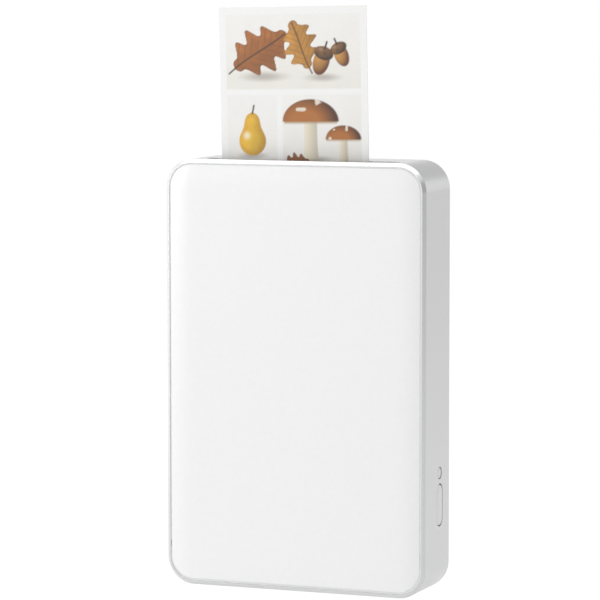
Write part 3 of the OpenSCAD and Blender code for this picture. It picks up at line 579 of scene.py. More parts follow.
# Grey elastomer ring round the status light: its grey is painted shade, the thin dark circle of
# shadow in the light's recess.
GASKET_PAINTED_SHADE = Finish(
    "gasket_painted_shade", "#6E6F70", "#5F6061", 0.6, 0.7, grain_mm=0.2, relief_mm=0.002,
)
# Stamped steel of the socket's shell; its tongue is black between these depths.
SOCKET_SHELL = Banded(
    "socket_shell", "#C7C8C9", "#AEB0B2", 0.2, 0.32, metallic=0.9, grain_mm=0.15,
    relief_mm=0.001, band="#151516", axis=1, low_mm=6.2, high_mm=6.9,
)

# Which CAD nodes take each finish.
NODE_FINISH: dict[str, Finish] = {
    node: finish
    for finish, nodes in (
        (SILVER_PAINT, "mid_frame back_plate power_button"),
        (PEARL_WHITE, "front_cover"),
        (BLACK_MOULDED, "chassis tray_floor"),
        (NICKEL, "cover_magnets chassis_magnets back_screws"),
        (
            ROLLED_STEEL,
            "hinge_pins pressure_plate plate_springs head_spring platen_shaft "
            "platen_clip pickup_shaft pickup_clip motor motor_shaft gear_pins "
            "gear_plate shield_can",
        ),
        (PHOTO_PAPER, "paper_stack printed_sheet"),
        (FRICTION_CORK, "separation_pad"),
        (GLAZED_ALUMINA, "print_head"),
        (EXTRUDED_ALUMINIUM, "head_heat_sink"),
        (
            BLACK_OXIDE,
            "head_screws motor_screws gear_plate_screws board_screws chassis_screws",
        ),
        (POLYIMIDE, "head_flex"),
        (GROUND_RUBBER, "platen_rubber pickup_tyre"),
        (
            ACETAL,
            "platen_bushes pickup_hub pickup_bushes platen_gear idler_gear "
            "pickup_gear second_gear first_gear",
        ),
        (BRASS, "motor_pinion"),
        (CHIP_EPOXY, "paper_sensor board_parts switch_body switch_plunger"),
        (SOLDER_MASK, "main_board"),
        (SOCKET_SHELL, "usb_socket"),
        (MILKY_LENS, "status_led light_pipe"),
        (POUCH_FOIL, "battery"),
        (FOAM_TAPE, "battery_tape"),
        (RED_LEAD, "battery_leads"),
    )
    for node in nodes.split()
}


class FinishShelf:
    """Keeps each finish's material, so that it is built once."""

    def __init__(self) -> None:
        """Starts an empty shelf."""
        self._made: dict[str, bpy.types.Material] = {}

    def get(self, finish: Finish) -> bpy.types.Material:
        """Looks up the material of a finish and builds it at its first use.

        Args:
            finish: The finish.

        Returns:
            Its material.
        """
        if finish.name not in self._made:
            self._made[finish.name] = finish.material()
        return self._made[finish.name]


SHELF = FinishShelf()


# ------------------------------------------------------------------ meshes


def to_world(across: Array | float, depth: Array | float, height: Array | float) -> Array:
    """Points from x, depth behind the front rim and height, in metres.

    Args:
        across: Distances to the right of the middle.
        depth: Depths behind the front rim; y is the depth less half the body's depth.
        height: Heights above the table.

    Returns:
        An array of points, one row each.
    """
    across, depth, height = np.broadcast_arrays(across, depth, height)
    return np.stack([across, depth - BODY_DEPTH / 2, height], -1).reshape(-1, 3) * MM


def grid_faces(rows: int, cols: int, wrap: bool = False, start: int = 0) -> Array:
    """Quads between neighbours of a grid of points.

    Args:
        rows: Points along the first parameter.
        cols: Points along the second parameter.
        wrap: True if the last column joins the first.
        start: Number of the grid's first point.

    Returns:
        One row of four point numbers for each quad.
    """
    number = np.arange(rows * cols).reshape(rows, cols) + start
    if wrap:
        number = np.concatenate([number, number[:, :1]], 1)
    corners = (number[:-1, :-1], number[:-1, 1:], number[1:, 1:], number[1:, :-1])
    return np.stack(corners, -1).reshape(-1, 4)


def tube_faces(rows: int, cols: int, start: int = 0) -> list[list[int]]:
    """Faces of a tube that is closed by its first and its last ring.

    Args:
        rows: Number of rings.
        cols: Points on a ring.
        start: Number of the tube's first point.

    Returns:
        The point numbers of each face.
    """
    ends = np.arange(start, start + rows * cols).reshape(rows, cols)[[0, -1]]
    sides = grid_faces(rows, cols, wrap=True, start=start)
    return sides.tolist() + [ends[0, ::-1].tolist(), ends[1].tolist()]


def mend_mesh(mesh: bpy.types.Mesh) -> None:
    """Merges doubled points and turns all faces outwards.

    Args:
        mesh: The mesh to mend.
    """
    work = bmesh.new()
    work.from_mesh(mesh)
    bmesh.ops.remove_doubles(work, verts=work.verts, dist=MERGE_MM * MM)
    bmesh.ops.recalc_face_normals(work, faces=work.faces)
    work.to_mesh(mesh)
    work.free()
    mesh.update()


def make_piece(
    name: str,
    points: Array,
    faces: Iterable[Sequence[int]],
    finish: Finish,
    body: str,
    replaced: str = "",
    mend: bool = True,
) -> bpy.types.Object:
    """Puts a mesh into the scene, dresses it and lets it ride on a body.

    Args:
        name: The piece's name.
        points: Points in metres, one row each.
        faces: Point numbers of each face.
        finish: The finish.
        body: The body it rides on.
        replaced: The CAD node that it stands for, if any.
        mend: False where the points have to stay as they are numbered.

    Returns:
        The new object.
    """
    mesh = bpy.data.meshes.new(name)
    mesh.from_pydata(points.tolist(), [], [list(map(int, face)) for face in faces])
    mesh.validate()
    mesh.polygons.foreach_set("use_smooth", np.ones(len(mesh.polygons), bool))
    mesh.set_sharp_from_angle(angle=math.radians(SMOOTH_DEG))
    mesh.materials.append(SHELF.get(finish))
    mesh.update()
    piece = new_object(name, mesh)
    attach(piece, body)
    LOG.info("%s: %d faces on %s", name, len(mesh.polygons), body)
    if mend:
        mend_mesh(mesh)
    if replaced:
        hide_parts(replaced)
    return piece


def rounded_loop(
    width: float, height: float, radius: float, per_corner: int = 20
) -> tuple[Array, Array]:
    """The outline of a rounded rectangle and its outward directions.

    Each corner is a quarter circle about its own centre, and the straight sides join
    them, so an offset outline is the point plus the offset times the direction.

    Args:
        width: Full width.
        height: Full height.
        radius: Corner radius.
        per_corner: Points on a corner.

    Returns:
        Points and unit outward directions, one row each, counter-clockwise.
    """
    turn = np.linspace(0, math.pi / 2, per_corner)
    quarter = np.arange(4)[:, None] * math.pi / 2 + turn[None, :]
    out = np.stack([np.cos(quarter), np.sin(quarter)], -1)
    sign = np.array([[1, 1], [-1, 1], [-1, -1], [1, -1]], float)
    centre = sign * np.array([width / 2 - radius, height / 2 - radius])
    return (centre[:, None, :] + out * radius).reshape(-1, 2), out.reshape(-1, 2)


# ------------------------------------------------------------------ front cover


@dataclass
class CoverFace:
    """The lacquered outer face of the front cover, as one crowned closed shell."""

    width: float = 85.1
    height: float = 133.7
    middle: float = 68.7
    radius: float = 7.55
    crown: float = 0.8
    proud: float = 0.7
    edge_round: float = 0.4
    lacquer: float = 0.02
    side_coat: float = 0.002
    back: float = 1.5

    def depth(self, inset: Array) -> Array:
        """How far the face lies behind the rim at an inset from the cover's edge.

        The middle stands in front of the rim. The face falls by the crown to its edge
        with the power 2.4 of the share of the way there, and a small round takes its
        last part. The lacquer thins out to a fifth at the edge.

        Args:
            inset: Insets from the edge.

        Returns:
            Depths behind the front rim.
        """
        way = 1 - np.minimum(inset / self.radius, 1)
        turn = np.maximum(1 - inset / self.edge_round, 0) ** 2
        coat = self.lacquer * (1 - 0.8 * way)
        return self.crown * way**2.4 + self.edge_round * turn - self.proud - coat

    def build(self) -> bpy.types.Object:
        """Builds the shell from rings at growing insets, front to back.

        Returns:
            The new piece.
        """
        insets = np.concatenate(
            [np.linspace(0, 0.5, 9), np.linspace(0.5, self.radius, 30)[1:]]
        )
        loop, out = rounded_loop(self.width, self.height, self.radius)
        loop = loop + out * self.side_coat
        rings = loop[None] - out[None] * insets[:, None, None]
        front = to_world(
            rings[..., 0], self.depth(insets)[:, None], rings[..., 1] + self.middle
        )
        rear = to_world(loop[:, 0], self.back, loop[:, 1] + self.middle)
        faces = tube_faces(len(insets) + 1, len(loop))
        points = np.concatenate([rear, front])
        return make_piece("cover_face", points, faces, PEARL_WHITE, "cover")


@dataclass
class SeamLip:
    """A soft pale lip that closes the seam round the cover.

    The cover carries it, and it laps over the cover's rounded edge. Where the open cover
    passes the rim, a short length on each side is left to the ring instead.

    Attributes:
        cover: The face whose outline the lip follows.
        opening: Width and height of the ring's opening.
        opening_middle: Height of the opening's middle.
        opening_radius: Radius of its corners.
        clear: Gap that the lip leaves beside the ring.
        lap: How far it laps over the cover's edge.
        near: Depth of its front behind the rim.
        turn: Depth where the cover's rounded edge ends.
        far: Depth of its foot.
        ring_part: Heights between which the ring carries it.
    """

    cover: CoverFace = field(default_factory=CoverFace)
    opening: tuple[float, float] = (85.4, 134.4)
    opening_middle: float = 68.5
    opening_radius: float = 7.7
    clear: float = 0.02
    lap: float = 0.17
    near: float = 0.16
    turn: float = 0.56
    far: float = 1.2
    ring_part: tuple[float, float] = (12.2, 14.2)

    def outline(
        self, width: float, height: float, radius: float, middle: float
    ) -> tuple[Array, Array]:
        """A rounded rectangle with points where the lip is parted on its two sides.

        Args:
            width: Full width.
            height: Full height.
            radius: Corner radius.
            middle: Height of its middle.

        Returns:
            Points and unit outward directions, one row each, counter-clockwise.
        """
        loop, out = rounded_loop(width, height, radius)
        low, high = self.ring_part
        half = len(loop) // 2
        left = [[-width / 2, high], [-width / 2, low]]
        right = [[width / 2, low], [width / 2, high]]
        loop = loop + [0, middle]
        loop = np.concatenate([loop[:half], left, loop[half:], right])
        out = np.concatenate([out[:half], [[-1, 0]] * 2, out[half:], [[1, 0]] * 2])
        return loop, out

    def build(self) -> bpy.types.Object:
        """Builds the lip in four lengths.

        Returns:
            The longest length.
        """
        face = self.cover
        ring, ring_out = self.outline(*self.opening, self.opening_radius, self.opening_middle)
        edge, edge_out = self.outline(face.width, face.height, face.radius, face.middle)
        outer = ring - ring_out * self.clear
        beside = edge + edge_out * 2 * self.clear
        lapping = edge - edge_out * self.lap
        hidden = [(outer, self.near), (outer, self.far)]
        plain = [(beside, self.near), *hidden, (beside, self.far)]
        lapped = [(lapping, self.near), *hidden, (beside, self.far), (beside, self.turn)]
        last = len(ring) - 1
        half = len(ring) // 2 - 2
        self.length("seam_lip_left", plain, range(half, half + 2), "housing")
        self.length("seam_lip_right", plain, range(last - 1, last + 1), "housing")
        self.length("seam_lip_foot", lapped, range(half + 1, last), "cover")
        return self.length("seam_lip", lapped, range(-1, half + 1), "cover")

    def length(
        self, name: str, section: Sequence[tuple[Array, float]], steps: range, body: str
    ) -> bpy.types.Object:
        """Builds one length: a line for each corner of its section, and its ends.

        Args:
            name: The piece's name.
            section: Outline and depth of each of the section's corners.
            steps: Outline points that it runs through.
            body: The body that carries it.

        Returns:
            The new piece.
        """
        step = np.array(steps) % len(section[0][0])
        lines = [to_world(line[step, 0], depth, line[step, 1]) for line, depth in section]
        points = np.stack(lines, 1).reshape(-1, 3)
        faces = tube_faces(len(step), len(section))
        return make_piece(name, points, faces, SEAL_RUBBER, body)


@dataclass
class LeafSprings:
    """Two bowed leaves behind the pressure plate.

    Attributes:
        middle: Where the leaves stand across the printer.
        width: Width of a leaf.
        half: Half its length.
        heights: Heights of the two leaves.
        foot: Depth where their ends rest on the cover.
        rise: Height of the bow.
        thick: Thickness of the strip.
        keep: Share of the bow that is left with the plate pressed in; not used.
    """

    middle: float = -2.7
    width: float = 10.0
    half: float = 8.0
    heights: tuple[float, float] = (60.0, 88.0)
    foot: float = 2.02
    rise: float = 2.1
    thick: float = 0.22
    keep: float = 0.61

    def build(self) -> bpy.types.Object:
        """Builds both leaves; a leaf rises with the square of the cosine of its way.

        Returns:
            The new piece.
        """
        way = np.linspace(-1, 1, 41)[:, None]
        near = self.foot + self.rise * np.cos(way * math.pi / 2) ** 2
        depth = near + np.array([0, 0, self.thick, self.thick])
        across = self.middle + self.width / 2 * np.array([-1, 1, 1, -1])
        points, faces = [], []
        for number, height in enumerate(self.heights):
            points.append(to_world(across, depth, height + way * self.half))
            faces += tube_faces(*depth.shape, start=number * depth.size)
        piece = make_piece(
            "leaf_springs", np.concatenate(points), faces, ROLLED_STEEL,
            "cover", "plate_springs",
        )
        anchor = tuple(to_world(self.middle, self.foot, self.heights[0])[0])
        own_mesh(piece)
        return piece


# ------------------------------------------------------------------ the print


def smooth(low: float, high: float, x: Array) -> Array:
    """A soft step: 0 below low, 1 above high and 3t^2 - 2t^3 between.

    Args:
        low: Where the step starts.
        high: Where it ends.
        x: The values.

    Returns:
        The step's height.
    """
    t = np.clip((x - low) / (high - low), 0, 1)
    return t * t * (3 - 2 * t)


def value_noise(x: Array, z: Array, size: float, seed: int) -> Array:
    """Smooth noise: random values on a square lattice, blended with soft steps.

    Args:
        x: Places across, mm.
        z: Places upwards, mm.
        size: Lattice spacing, mm.
        seed: Picks the random values.

    Returns:
        Values from 0 to 1.
    """
    lattice = np.random.default_rng(seed).random((LATTICE + 1, LATTICE + 1))
    u, v = x / size + LATTICE_START, z / size + LATTICE_START
    i, j = np.floor(u).astype(int) % LATTICE, np.floor(v).astype(int) % LATTICE
    p, q = u - np.floor(u), v - np.floor(v)
    p, q = smooth(0, 1, p), smooth(0, 1, q)
    low = lattice[i, j] * (1 - p) + lattice[i + 1, j] * p
    high = lattice[i, j + 1] * (1 - p) + lattice[i + 1, j + 1] * p
    return low * (1 - q) + high * q


def mottle(x: Array, z: Array, size: float, seed: int) -> Array:
    """Noise of three sizes, each half as large and half as strong as the last.

    Args:
        x: Places across, mm.
        z: Places upwards, mm.
        size: Largest lattice spacing, mm.
        seed: Picks the random values.

    Returns:
        Values from 0 to 1.
    """
    strengths = [0.5**k for k in range(3)]
    parts = [
        value_noise(x, z, size * share, seed + k) * share
        for k, share in enumerate(strengths)
    ]
    return sum(parts) / sum(strengths)


@dataclass
class Canvas:
    """Colours painted on the sheet's grid, in linear light, with x and z in mm."""

    x: Array
    z: Array
    colour: Array = field(init=False)
    blur: float = 0.16

    def __post_init__(self) -> None:
        """Starts with bare paper."""
        self.colour = np.ones((*self.x.shape, 3))

    def lay(self, cover: Array, code: str | Array, strength: float = 1.0) -> None:
        """Lays a colour over the canvas.

        The new colour is the old one times what the cover leaves, plus the laid colour
        times the cover.

        Args:
            cover: How much of each dot is covered, from 0 to 1.
            code: An sRGB hex colour, or colours for each dot.
            strength: Scales the cover.
        """
        ink = rgb(code) if isinstance(code, str) else code
        share = np.clip(cover * strength, 0, 1)[..., None]
        self.colour = self.colour * (1 - share) + ink * share

    def inside(self, distance: Array) -> Array:
        """Cover of a shape from its signed distance, with an edge one dot soft."""
        return smooth(self.blur, -self.blur, distance)

    def turned(self, cx: float, cz: float, degrees: float) -> tuple[Array, Array]:
        """Coordinates about a centre, with the first axis turned by an angle.

        Args:
            cx: Centre across.
            cz: Centre upwards.
            degrees: The angle.

        Returns:
            Coordinates along the turned axis and square to it.
        """
        a = math.radians(degrees)
        dx, dz = self.x - cx, self.z - cz
        return dx * math.cos(a) + dz * math.sin(a), dz * math.cos(a) - dx * math.sin(a)


@dataclass
class StillLife:
    """A made-up set of autumn pictures, in a wide frame above and others below.

    Attributes:
        canvas: What they are painted on.
        clip: Cover of the frame that is being filled.
    """

    canvas: Canvas
    clip: Optional[Array] = None

    def frame(self, box: tuple[float, float, float, float], top: str, low: str) -> None:
        """Fills one picture's ground with a soft fade from its top to its foot.

        Args:
            box: Left, bottom, right and top, mm.
            top: Colour at the top.
            low: Colour at the foot.
        """
        c = self.canvas
        left, bottom, right, high = box
        beside = np.abs(c.x - (left + right) / 2) - (right - left) / 2
        above = np.abs(c.z - (bottom + high) / 2) - (high - bottom) / 2
        self.clip = c.inside(np.maximum(beside, above))
        way = smooth(bottom, high, c.z)[..., None]
        fade = rgb(top) * way + rgb(low) * (1 - way)
        grain = 0.97 + 0.05 * mottle(c.x, c.z, 5.0, 3)[..., None]
        c.lay(self.clip, fade * grain)

    def shadow(self, cx: float, cz: float, rx: float, rz: float) -> None:
        """A soft shadow on the ground, darkest in the middle of an ellipse.

        Args:
            cx: Middle across.
            cz: Middle upwards.
            rx: Half width.
            rz: Half height.
        """
        c = self.canvas
        r = np.hypot((c.x - cx) / rx, (c.z - cz) / rz)
        c.lay(smooth(1.0, 0.1, r) * self.clip, "#8C8071", 0.55)

    def oak_leaf(
        self, cx: float, cz: float, length: float, degrees: float, ink: str, dark: str
    ) -> None:
        """A lobed leaf with a midrib, side veins and a stalk.

        Along the midrib t runs from 0 to 1. The half width is the length times
        0.3 sin(pi t)^0.7 (1 + 0.3 cos(8 pi t)), which gives four rounded lobes a side.

        Args:
            cx: Middle across.
            cz: Middle upwards.
            length: From base to tip.
            degrees: Which way the tip points.
            ink: The blade's colour.
            dark: The veins' and edge's colour.
        """
        c = self.canvas
        along, side = c.turned(cx, cz, degrees)
        side = side + 0.05 * length * np.sin(along / length * 3)
        t = np.clip(along / length + 0.5, 0, 1)
        swell = np.sin(math.pi * t) ** 0.7
        half = 0.3 * length * swell * (1 + 0.3 * np.cos(8 * math.pi * t))
        ends = np.maximum(np.abs(along) - length / 2, 0)
        blade = np.abs(side) - half + ends * 3
        cover = c.inside(blade) * self.clip
        tone = mottle(c.x, c.z, 2.4, 11)[..., None]
        light = smooth(-0.3 * length, 0.3 * length, side)[..., None]
        colour = rgb(ink) * (0.72 + 0.5 * tone) * (0.8 + 0.35 * light)
        c.lay(cover, np.clip(colour, 0, 1))
        c.lay(cover * smooth(-0.8, 0.1, blade), dark, 0.55)
        vein = np.abs(((t * 8 - np.abs(side) / length * 7) % 1) - 0.5) / 8 * length
        c.lay(cover * smooth(0.22, 0.04, vein) * smooth(0, 0.6, np.abs(side)), dark, 0.5)
        stalk = np.maximum(np.abs(side) - 0.28, np.abs(along + length * 0.08) - length * 0.55)
        c.lay(c.inside(stalk) * self.clip, dark, 0.9)

    def ball(
        self, cx: float, cz: float, rx: float, rz: float, degrees: float, ink: str,
        dark: str, gloss: float = 0.7,
    ) -> Array:
        """A round fruit or cap, shaded as an ellipsoid under light from the upper left.

        The light is the dot product of the unit normal (x / rx, z / rz and the root
        of what is left) with the light's direction.

        Args:
            cx: Middle across.
            cz: Middle upwards.
            rx: Half width.
            rz: Half height.
            degrees: Turn of the ellipse.
            ink: Colour in the light.
            dark: Colour in the shade.
            gloss: Strength of the highlight.

        Returns:
            The fruit's cover.
        """
        c = self.canvas
        u, v = c.turned(cx, cz, degrees)
        u, v = u / rx, v / rz
        r = np.hypot(u, v)
        cover = c.inside((r - 1) * min(rx, rz)) * self.clip
        w = np.sqrt(np.clip(1 - r * r, 0, 1))
        lit = np.clip(-0.45 * u + 0.5 * v + 0.74 * w, 0, 1)[..., None]
        tone = 0.9 + 0.2 * mottle(c.x, c.z, 1.6, 23)[..., None]
        colour = rgb(dark) * (1 - lit) + rgb(ink) * lit
        c.lay(cover, np.clip(colour * tone, 0, 1))
        spot = np.hypot(u + 0.38, v - 0.42)
        c.lay(cover * smooth(0.3, 0.05, spot), "#FFFDF6", gloss)
        return cover

    def acorn(self, cx: float, cz: float, size: float, degrees: float) -> None:
        """An acorn: a glossy nut under a scaly cap with a short stalk.

        Args:
            cx: Middle across.
            cz: Middle upwards.
            size: Half the nut's length.
            degrees: How far it leans to the left.
        """
        c = self.canvas
        a = math.radians(degrees)
        self.ball(cx, cz, size * 0.62, size, degrees, "#D29A4C", "#6B3B17")
        up = (-math.sin(a), math.cos(a))
        hx, hz = cx + up[0] * size * 0.62, cz + up[1] * size * 0.62
        cap = self.ball(
            hx, hz, size * 0.76, size * 0.48, degrees, "#8B6238", "#3A2413", gloss=0.1
        )
        scale = np.sin((c.x + c.z) * 5.2 / size) * np.sin((c.x - c.z) * 5.2 / size)
        c.lay(cap * smooth(0.2, 0.7, scale), "#2C1A0D", 0.45)
        u, v = c.turned(hx + up[0] * size * 0.6, hz + up[1] * size * 0.6, degrees)
        stalk = np.maximum(np.abs(u) - 0.3, np.abs(v) - size * 0.3)
        c.lay(c.inside(stalk) * self.clip, "#3F2816")

    def toadstool(self, cx: float, foot: float, size: float) -> None:
        """A brown-capped mushroom with a pale stem and a shaded underside.

        Args:
            cx: Middle across.
            foot: Foot of the stem.
            size: About its height.
        """
        c = self.canvas
        u, v = (c.x - cx) / size, (c.z - foot) / size
        width = 0.16 + 0.1 * np.clip(0.5 - v, 0, 1) ** 2
        stem = np.maximum(np.abs(u) - width, np.abs(v - 0.45) - 0.47) * size
        shade = (0.72 + 0.34 * smooth(0.2, -0.2, u))[..., None]
        c.lay(c.inside(stem) * self.clip, rgb("#EFE6D2") * shade)
        under = np.maximum(np.hypot(u / 0.66, (v - 0.84) / 0.16) - 1, 0.82 - v) * size * 0.3
        c.lay(c.inside(under) * self.clip, "#B79B76")
        far = np.hypot(u / 0.7, (v - 0.86) / 0.52)
        dome = np.maximum(far - 1, (0.86 - v) * 2) * size * 0.5
        cover = c.inside(dome) * self.clip
        lit = np.clip(0.25 + 1.3 * np.clip(1 - far, 0, 1) - 0.7 * u, 0, 1)[..., None]
        warm = rgb("#B5702F") * lit
        c.lay(cover, warm + rgb("#4F2A12") * (1 - lit))
        dots = value_noise(c.x, c.z, size * 0.16, 41)
        c.lay(cover * smooth(0.78, 0.86, dots), "#F4EAD8", 0.9)

    def pear(self, cx: float, cz: float, size: float) -> None:
        """A yellow pear: two round forms run together, and a stalk.

        Args:
            cx: Middle across.
            cz: Middle upwards.
            size: About half its height.
        """
        c = self.canvas
        body = np.hypot(c.x - cx, c.z - cz + size * 0.35) - size * 0.62
        neck = np.hypot((c.x - cx) * 1.1, c.z - cz - size * 0.5) - size * 0.36
        mix = np.clip(0.5 + 0.5 * (neck - body) / (size * 0.5), 0, 1)
        joined = neck * (1 - mix) + body * mix - size * 0.5 * mix * (1 - mix)
        cover = c.inside(joined) * self.clip
        lit = np.clip(0.95 - 0.55 * (c.x - cx) / size + 0.1 * (c.z - cz) / size, 0.35, 1.2)
        rim = smooth(-size * 0.34, 0, joined)[..., None]
        colour = rgb("#F0C030") * lit[..., None]
        colour = colour * (1 - 0.45 * rim) + rgb("#B97A1C") * 0.45 * rim
        tone = 0.94 + 0.12 * mottle(c.x, c.z, 0.9, 5)[..., None]
        c.lay(cover, np.clip(colour * tone, 0, 1))
        spot = np.hypot(c.x - cx + size * 0.26, c.z - cz + size * 0.12) / size
        c.lay(cover * smooth(0.26, 0.02, spot), "#FFF8DC", 0.8)
        u, v = c.turned(cx + size * 0.05, cz + size * 1.0, -12)
        stalk = np.maximum(np.abs(u) - 0.28, np.abs(v) - size * 0.2)
        c.lay(c.inside(stalk) * self.clip, "#4A3018")

    def paint(self) -> Array:
        """Paints the whole sheet.

        Returns:
            The colours, in linear light.
        """
        self.frame((2.2, 50.0, 47.8, 73.6), "#FCFBF9", "#F6F3EE")
        self.shadow(15.0, 54.0, 11.0, 2.2)
        self.shadow(35.0, 53.6, 8.0, 1.8)
        self.oak_leaf(14.0, 62.2, 21.0, 38, "#A9662B", "#4A2A12")
        self.oak_leaf(27.5, 64.0, 16.0, 118, "#C98F3D", "#6A431B")
        self.acorn(34.6, 58.6, 4.4, -18)
        self.acorn(41.4, 60.6, 3.8, 24)
        self.frame((2.2, 20.0, 19.2, 48.2), "#FCFBFA", "#F7F5F1")
        self.shadow(10.8, 29.0, 6.5, 1.5)
        self.pear(10.7, 36.2, 7.4)
        self.frame((21.0, 20.0, 47.8, 48.2), "#FBFAF8", "#F5F2ED")
        self.shadow(31.0, 27.6, 9.0, 1.8)
        self.shadow(41.6, 26.4, 6.0, 1.3)
        self.toadstool(30.6, 28.0, 13.6)
        self.toadstool(41.6, 26.6, 8.6)
        self.oak_leaf(25.6, 26.6, 9.0, 14, "#8A5222", "#3B210F")
        self.frame((2.2, 2.4, 47.8, 18.2), "#F9F7F4", "#F1ECE3")
        self.shadow(24.0, 5.0, 18.0, 1.5)
        self.acorn(12.0, 9.6, 3.6, 70)
        self.oak_leaf(27.0, 10.0, 18.0, 6, "#B5752F", "#55300F")
        self.acorn(40.6, 9.2, 3.4, -60)
        return np.clip(self.canvas.colour, 0, 1)


@dataclass
class PrintedSheet:
    """The sheet leaving the slot: a fine grid in front that holds the picture."""

    width: float = 50.0
    length: float = 76.0
    front: float = 7.4
    back: float = 7.68
    middle_x: float = -2.7
    middle_z: float = 147.4
    askew: float = 1.15
    dot: float = 0.25

    def build(self) -> bpy.types.Object:
        """Builds the sheet and paints its front.

        A grid of dots makes the front, and one more ring of points at the same places
        behind its edge closes the back.

        Returns:
            The new piece.
        """
        cols = int(self.width / self.dot) + 1
        rows = int(self.length / self.dot) + 1
        x, z = np.meshgrid(
            np.linspace(0, self.width, cols), np.linspace(0, self.length, rows)
        )
        ink = StillLife(Canvas(x, z)).paint().reshape(-1, 3)
        a = math.radians(self.askew)
        dx, dz = x - self.width / 2, z - self.length / 2
        across = self.middle_x + dx * math.cos(a) - dz * math.sin(a)
        height = self.middle_z + dx * math.sin(a) + dz * math.cos(a)
        number = np.arange(rows * cols).reshape(rows, cols)
        edge = np.concatenate(
            [number[0, :-1], number[:-1, -1], number[-1, :0:-1], number[:0:-1, 0]]
        )
        front = to_world(across, self.front, height)
        rear = front[edge] + np.array([0, (self.back - self.front) * MM, 0])
        count, around = rows * cols, len(edge)
        step = np.arange(around)
        rim = [edge, count + step, count + (step + 1) % around, np.roll(edge, -1)]
        faces = grid_faces(rows, cols).tolist() + np.stack(rim, -1).tolist()
        faces.append((count + step).tolist()[::-1])
        piece = make_piece(
            "print_with_picture", np.concatenate([front, rear]), faces, PRINTED_PAPER,
            "print", "printed_sheet", mend=False,
        )
        layer = piece.data.color_attributes.new(PRINTED_PAPER.layer, "FLOAT_COLOR", "POINT")
        full = np.ones((len(piece.data.vertices), 4), np.float32)
        full[:count, :3] = ink
        layer.data.foreach_set("color", full.ravel())
        return piece


# ------------------------------------------------------------------ controls on the side


@dataclass
class SideButton:
    """The power button: a pill-shaped cap with soft edges, its flange and its stem.

    Its face stands at right across the printer, and its middle at depth and height.
    Inside the wall the flange reaches past the cap by flange_past.
    """

    right: float = 44.1
    depth: float = 14.2
    height: float = 28.3
    length: float = 13.2
    width: float = 5.3
    edge: float = 0.5
    bulge: float = 0.06
    flange_right: float = 42.4
    flange: float = 1.0
    flange_past: float = 0.85
    stem: tuple[float, float] = (2.0, 3.2)
    stem_left: float = 38.4
    corner: int = 16

    def build(self) -> bpy.types.Object:
        """Builds the button from pill-shaped rings, from its face inwards.

        Each ring is the pill's outline less an inset. The innermost ring has run
        together into the pill's middle line. The face bulges, and the rounded edge
        goes through a quarter circle.

        Returns:
            The new piece.
        """
        half = self.width / 2
        turn = np.linspace(0, math.pi / 2, 8)
        face = half * np.array([1, 0.7, 0.42, 0.28])
        inset = np.concatenate([face, self.edge * (1 - np.sin(turn))])
        way = np.clip((inset - self.edge) / (half - self.edge), 0, 1)
        place = self.right - self.bulge + self.bulge * way**0.5
        place[len(face) :] -= self.edge * (1 - np.cos(turn))
        back = self.flange_right - self.flange
        inset = np.concatenate([inset, [0, -self.flange_past, -self.flange_past]])
        place = np.concatenate(
            [place, [self.flange_right, self.flange_right, back, back, self.stem_left]]
        )
        loop, out = rounded_loop(self.width, self.length, half, self.corner)
        stem, _ = rounded_loop(*self.stem, 0.3, self.corner)
        rings = np.concatenate([loop[None] - out[None] * inset[:, None, None], [stem, stem]])
        points = to_world(
            place[:, None], rings[..., 0] + self.depth, rings[..., 1] + self.height
        )
        faces = grid_faces(len(rings), len(loop), wrap=True).tolist()
        faces.append(list(range(len(points) - len(loop), len(points)))[::-1])
        return make_piece(
            "button_cap", points, faces, SILVER_PAINT, "button", "power_button"
        )


def turned_piece(
    name: str, profile: Sequence[tuple[float, float]], axis: tuple[float, float], finish: Finish
) -> bpy.types.Object:
    """Turns a closed profile about an axis that runs across the printer.

    Args:
        name: The piece's name.
        profile: Distances from the axis and places across, going round the section.
        axis: Depth and height of the axis.
        finish: The finish.

    Returns:
        The new piece, on the housing.
    """
    turn = np.linspace(0, 2 * math.pi, ROUND_STEPS, endpoint=False)
    radius, place = np.array(profile).T[:, :, None]
    points = to_world(
        place, axis[0] + radius * np.cos(turn), axis[1] + radius * np.sin(turn)
    )
    faces = grid_faces(len(profile) + 1, ROUND_STEPS, wrap=True) % len(points)
    return make_piece(name, points, faces, finish, "housing")


@dataclass
class StatusLight:
    """The round status light: a shallow lens in a thin grey gasket, whose grey is painted
    shade.

    Their rim stands at face across the printer; lens and gasket are outer radii.
    """

    face: float = 43.85
    axis: tuple[float, float] = (14.2, 38.5)
    lens: float = 1.68
    gasket: float = 1.9
    dome: float = 0.12
    thick: float = 0.8
    clear: float = 0.01

    def lens_piece(self) -> bpy.types.Object:
        """Builds the lens, whose height falls with the square of the radius.

        Returns:
            The new piece.
        """
        share = np.array([1e-4, 0.25, 0.5, 0.7, 0.85, 0.94, 1.0, 1.0, 1e-4])
        place = self.face + self.dome * (1 - share**2)
        place[-2:] = self.face - self.thick
        profile = list(zip(share * self.lens, place))
        return turned_piece("status_lens", profile, self.axis, MILKY_LENS)

    def gasket_piece(self) -> bpy.types.Object:
        """Builds the gasket, a thin ring just under the lens's edge; its grey is painted shade
        round the lens.

        Returns:
            The new piece.
        """
        near, far = self.lens + self.clear, self.gasket
        top, foot = self.face - self.clear, self.face - self.thick
        ring = [(near, top), (far, top), (far, foot), (near, foot)]
        # The gasket's grey is painted shade: the dark circle of shadow round the lens.
        return turned_piece("lens_gasket", ring, self.axis, GASKET_PAINTED_SHADE)


# ------------------------------------------------------------------ studio


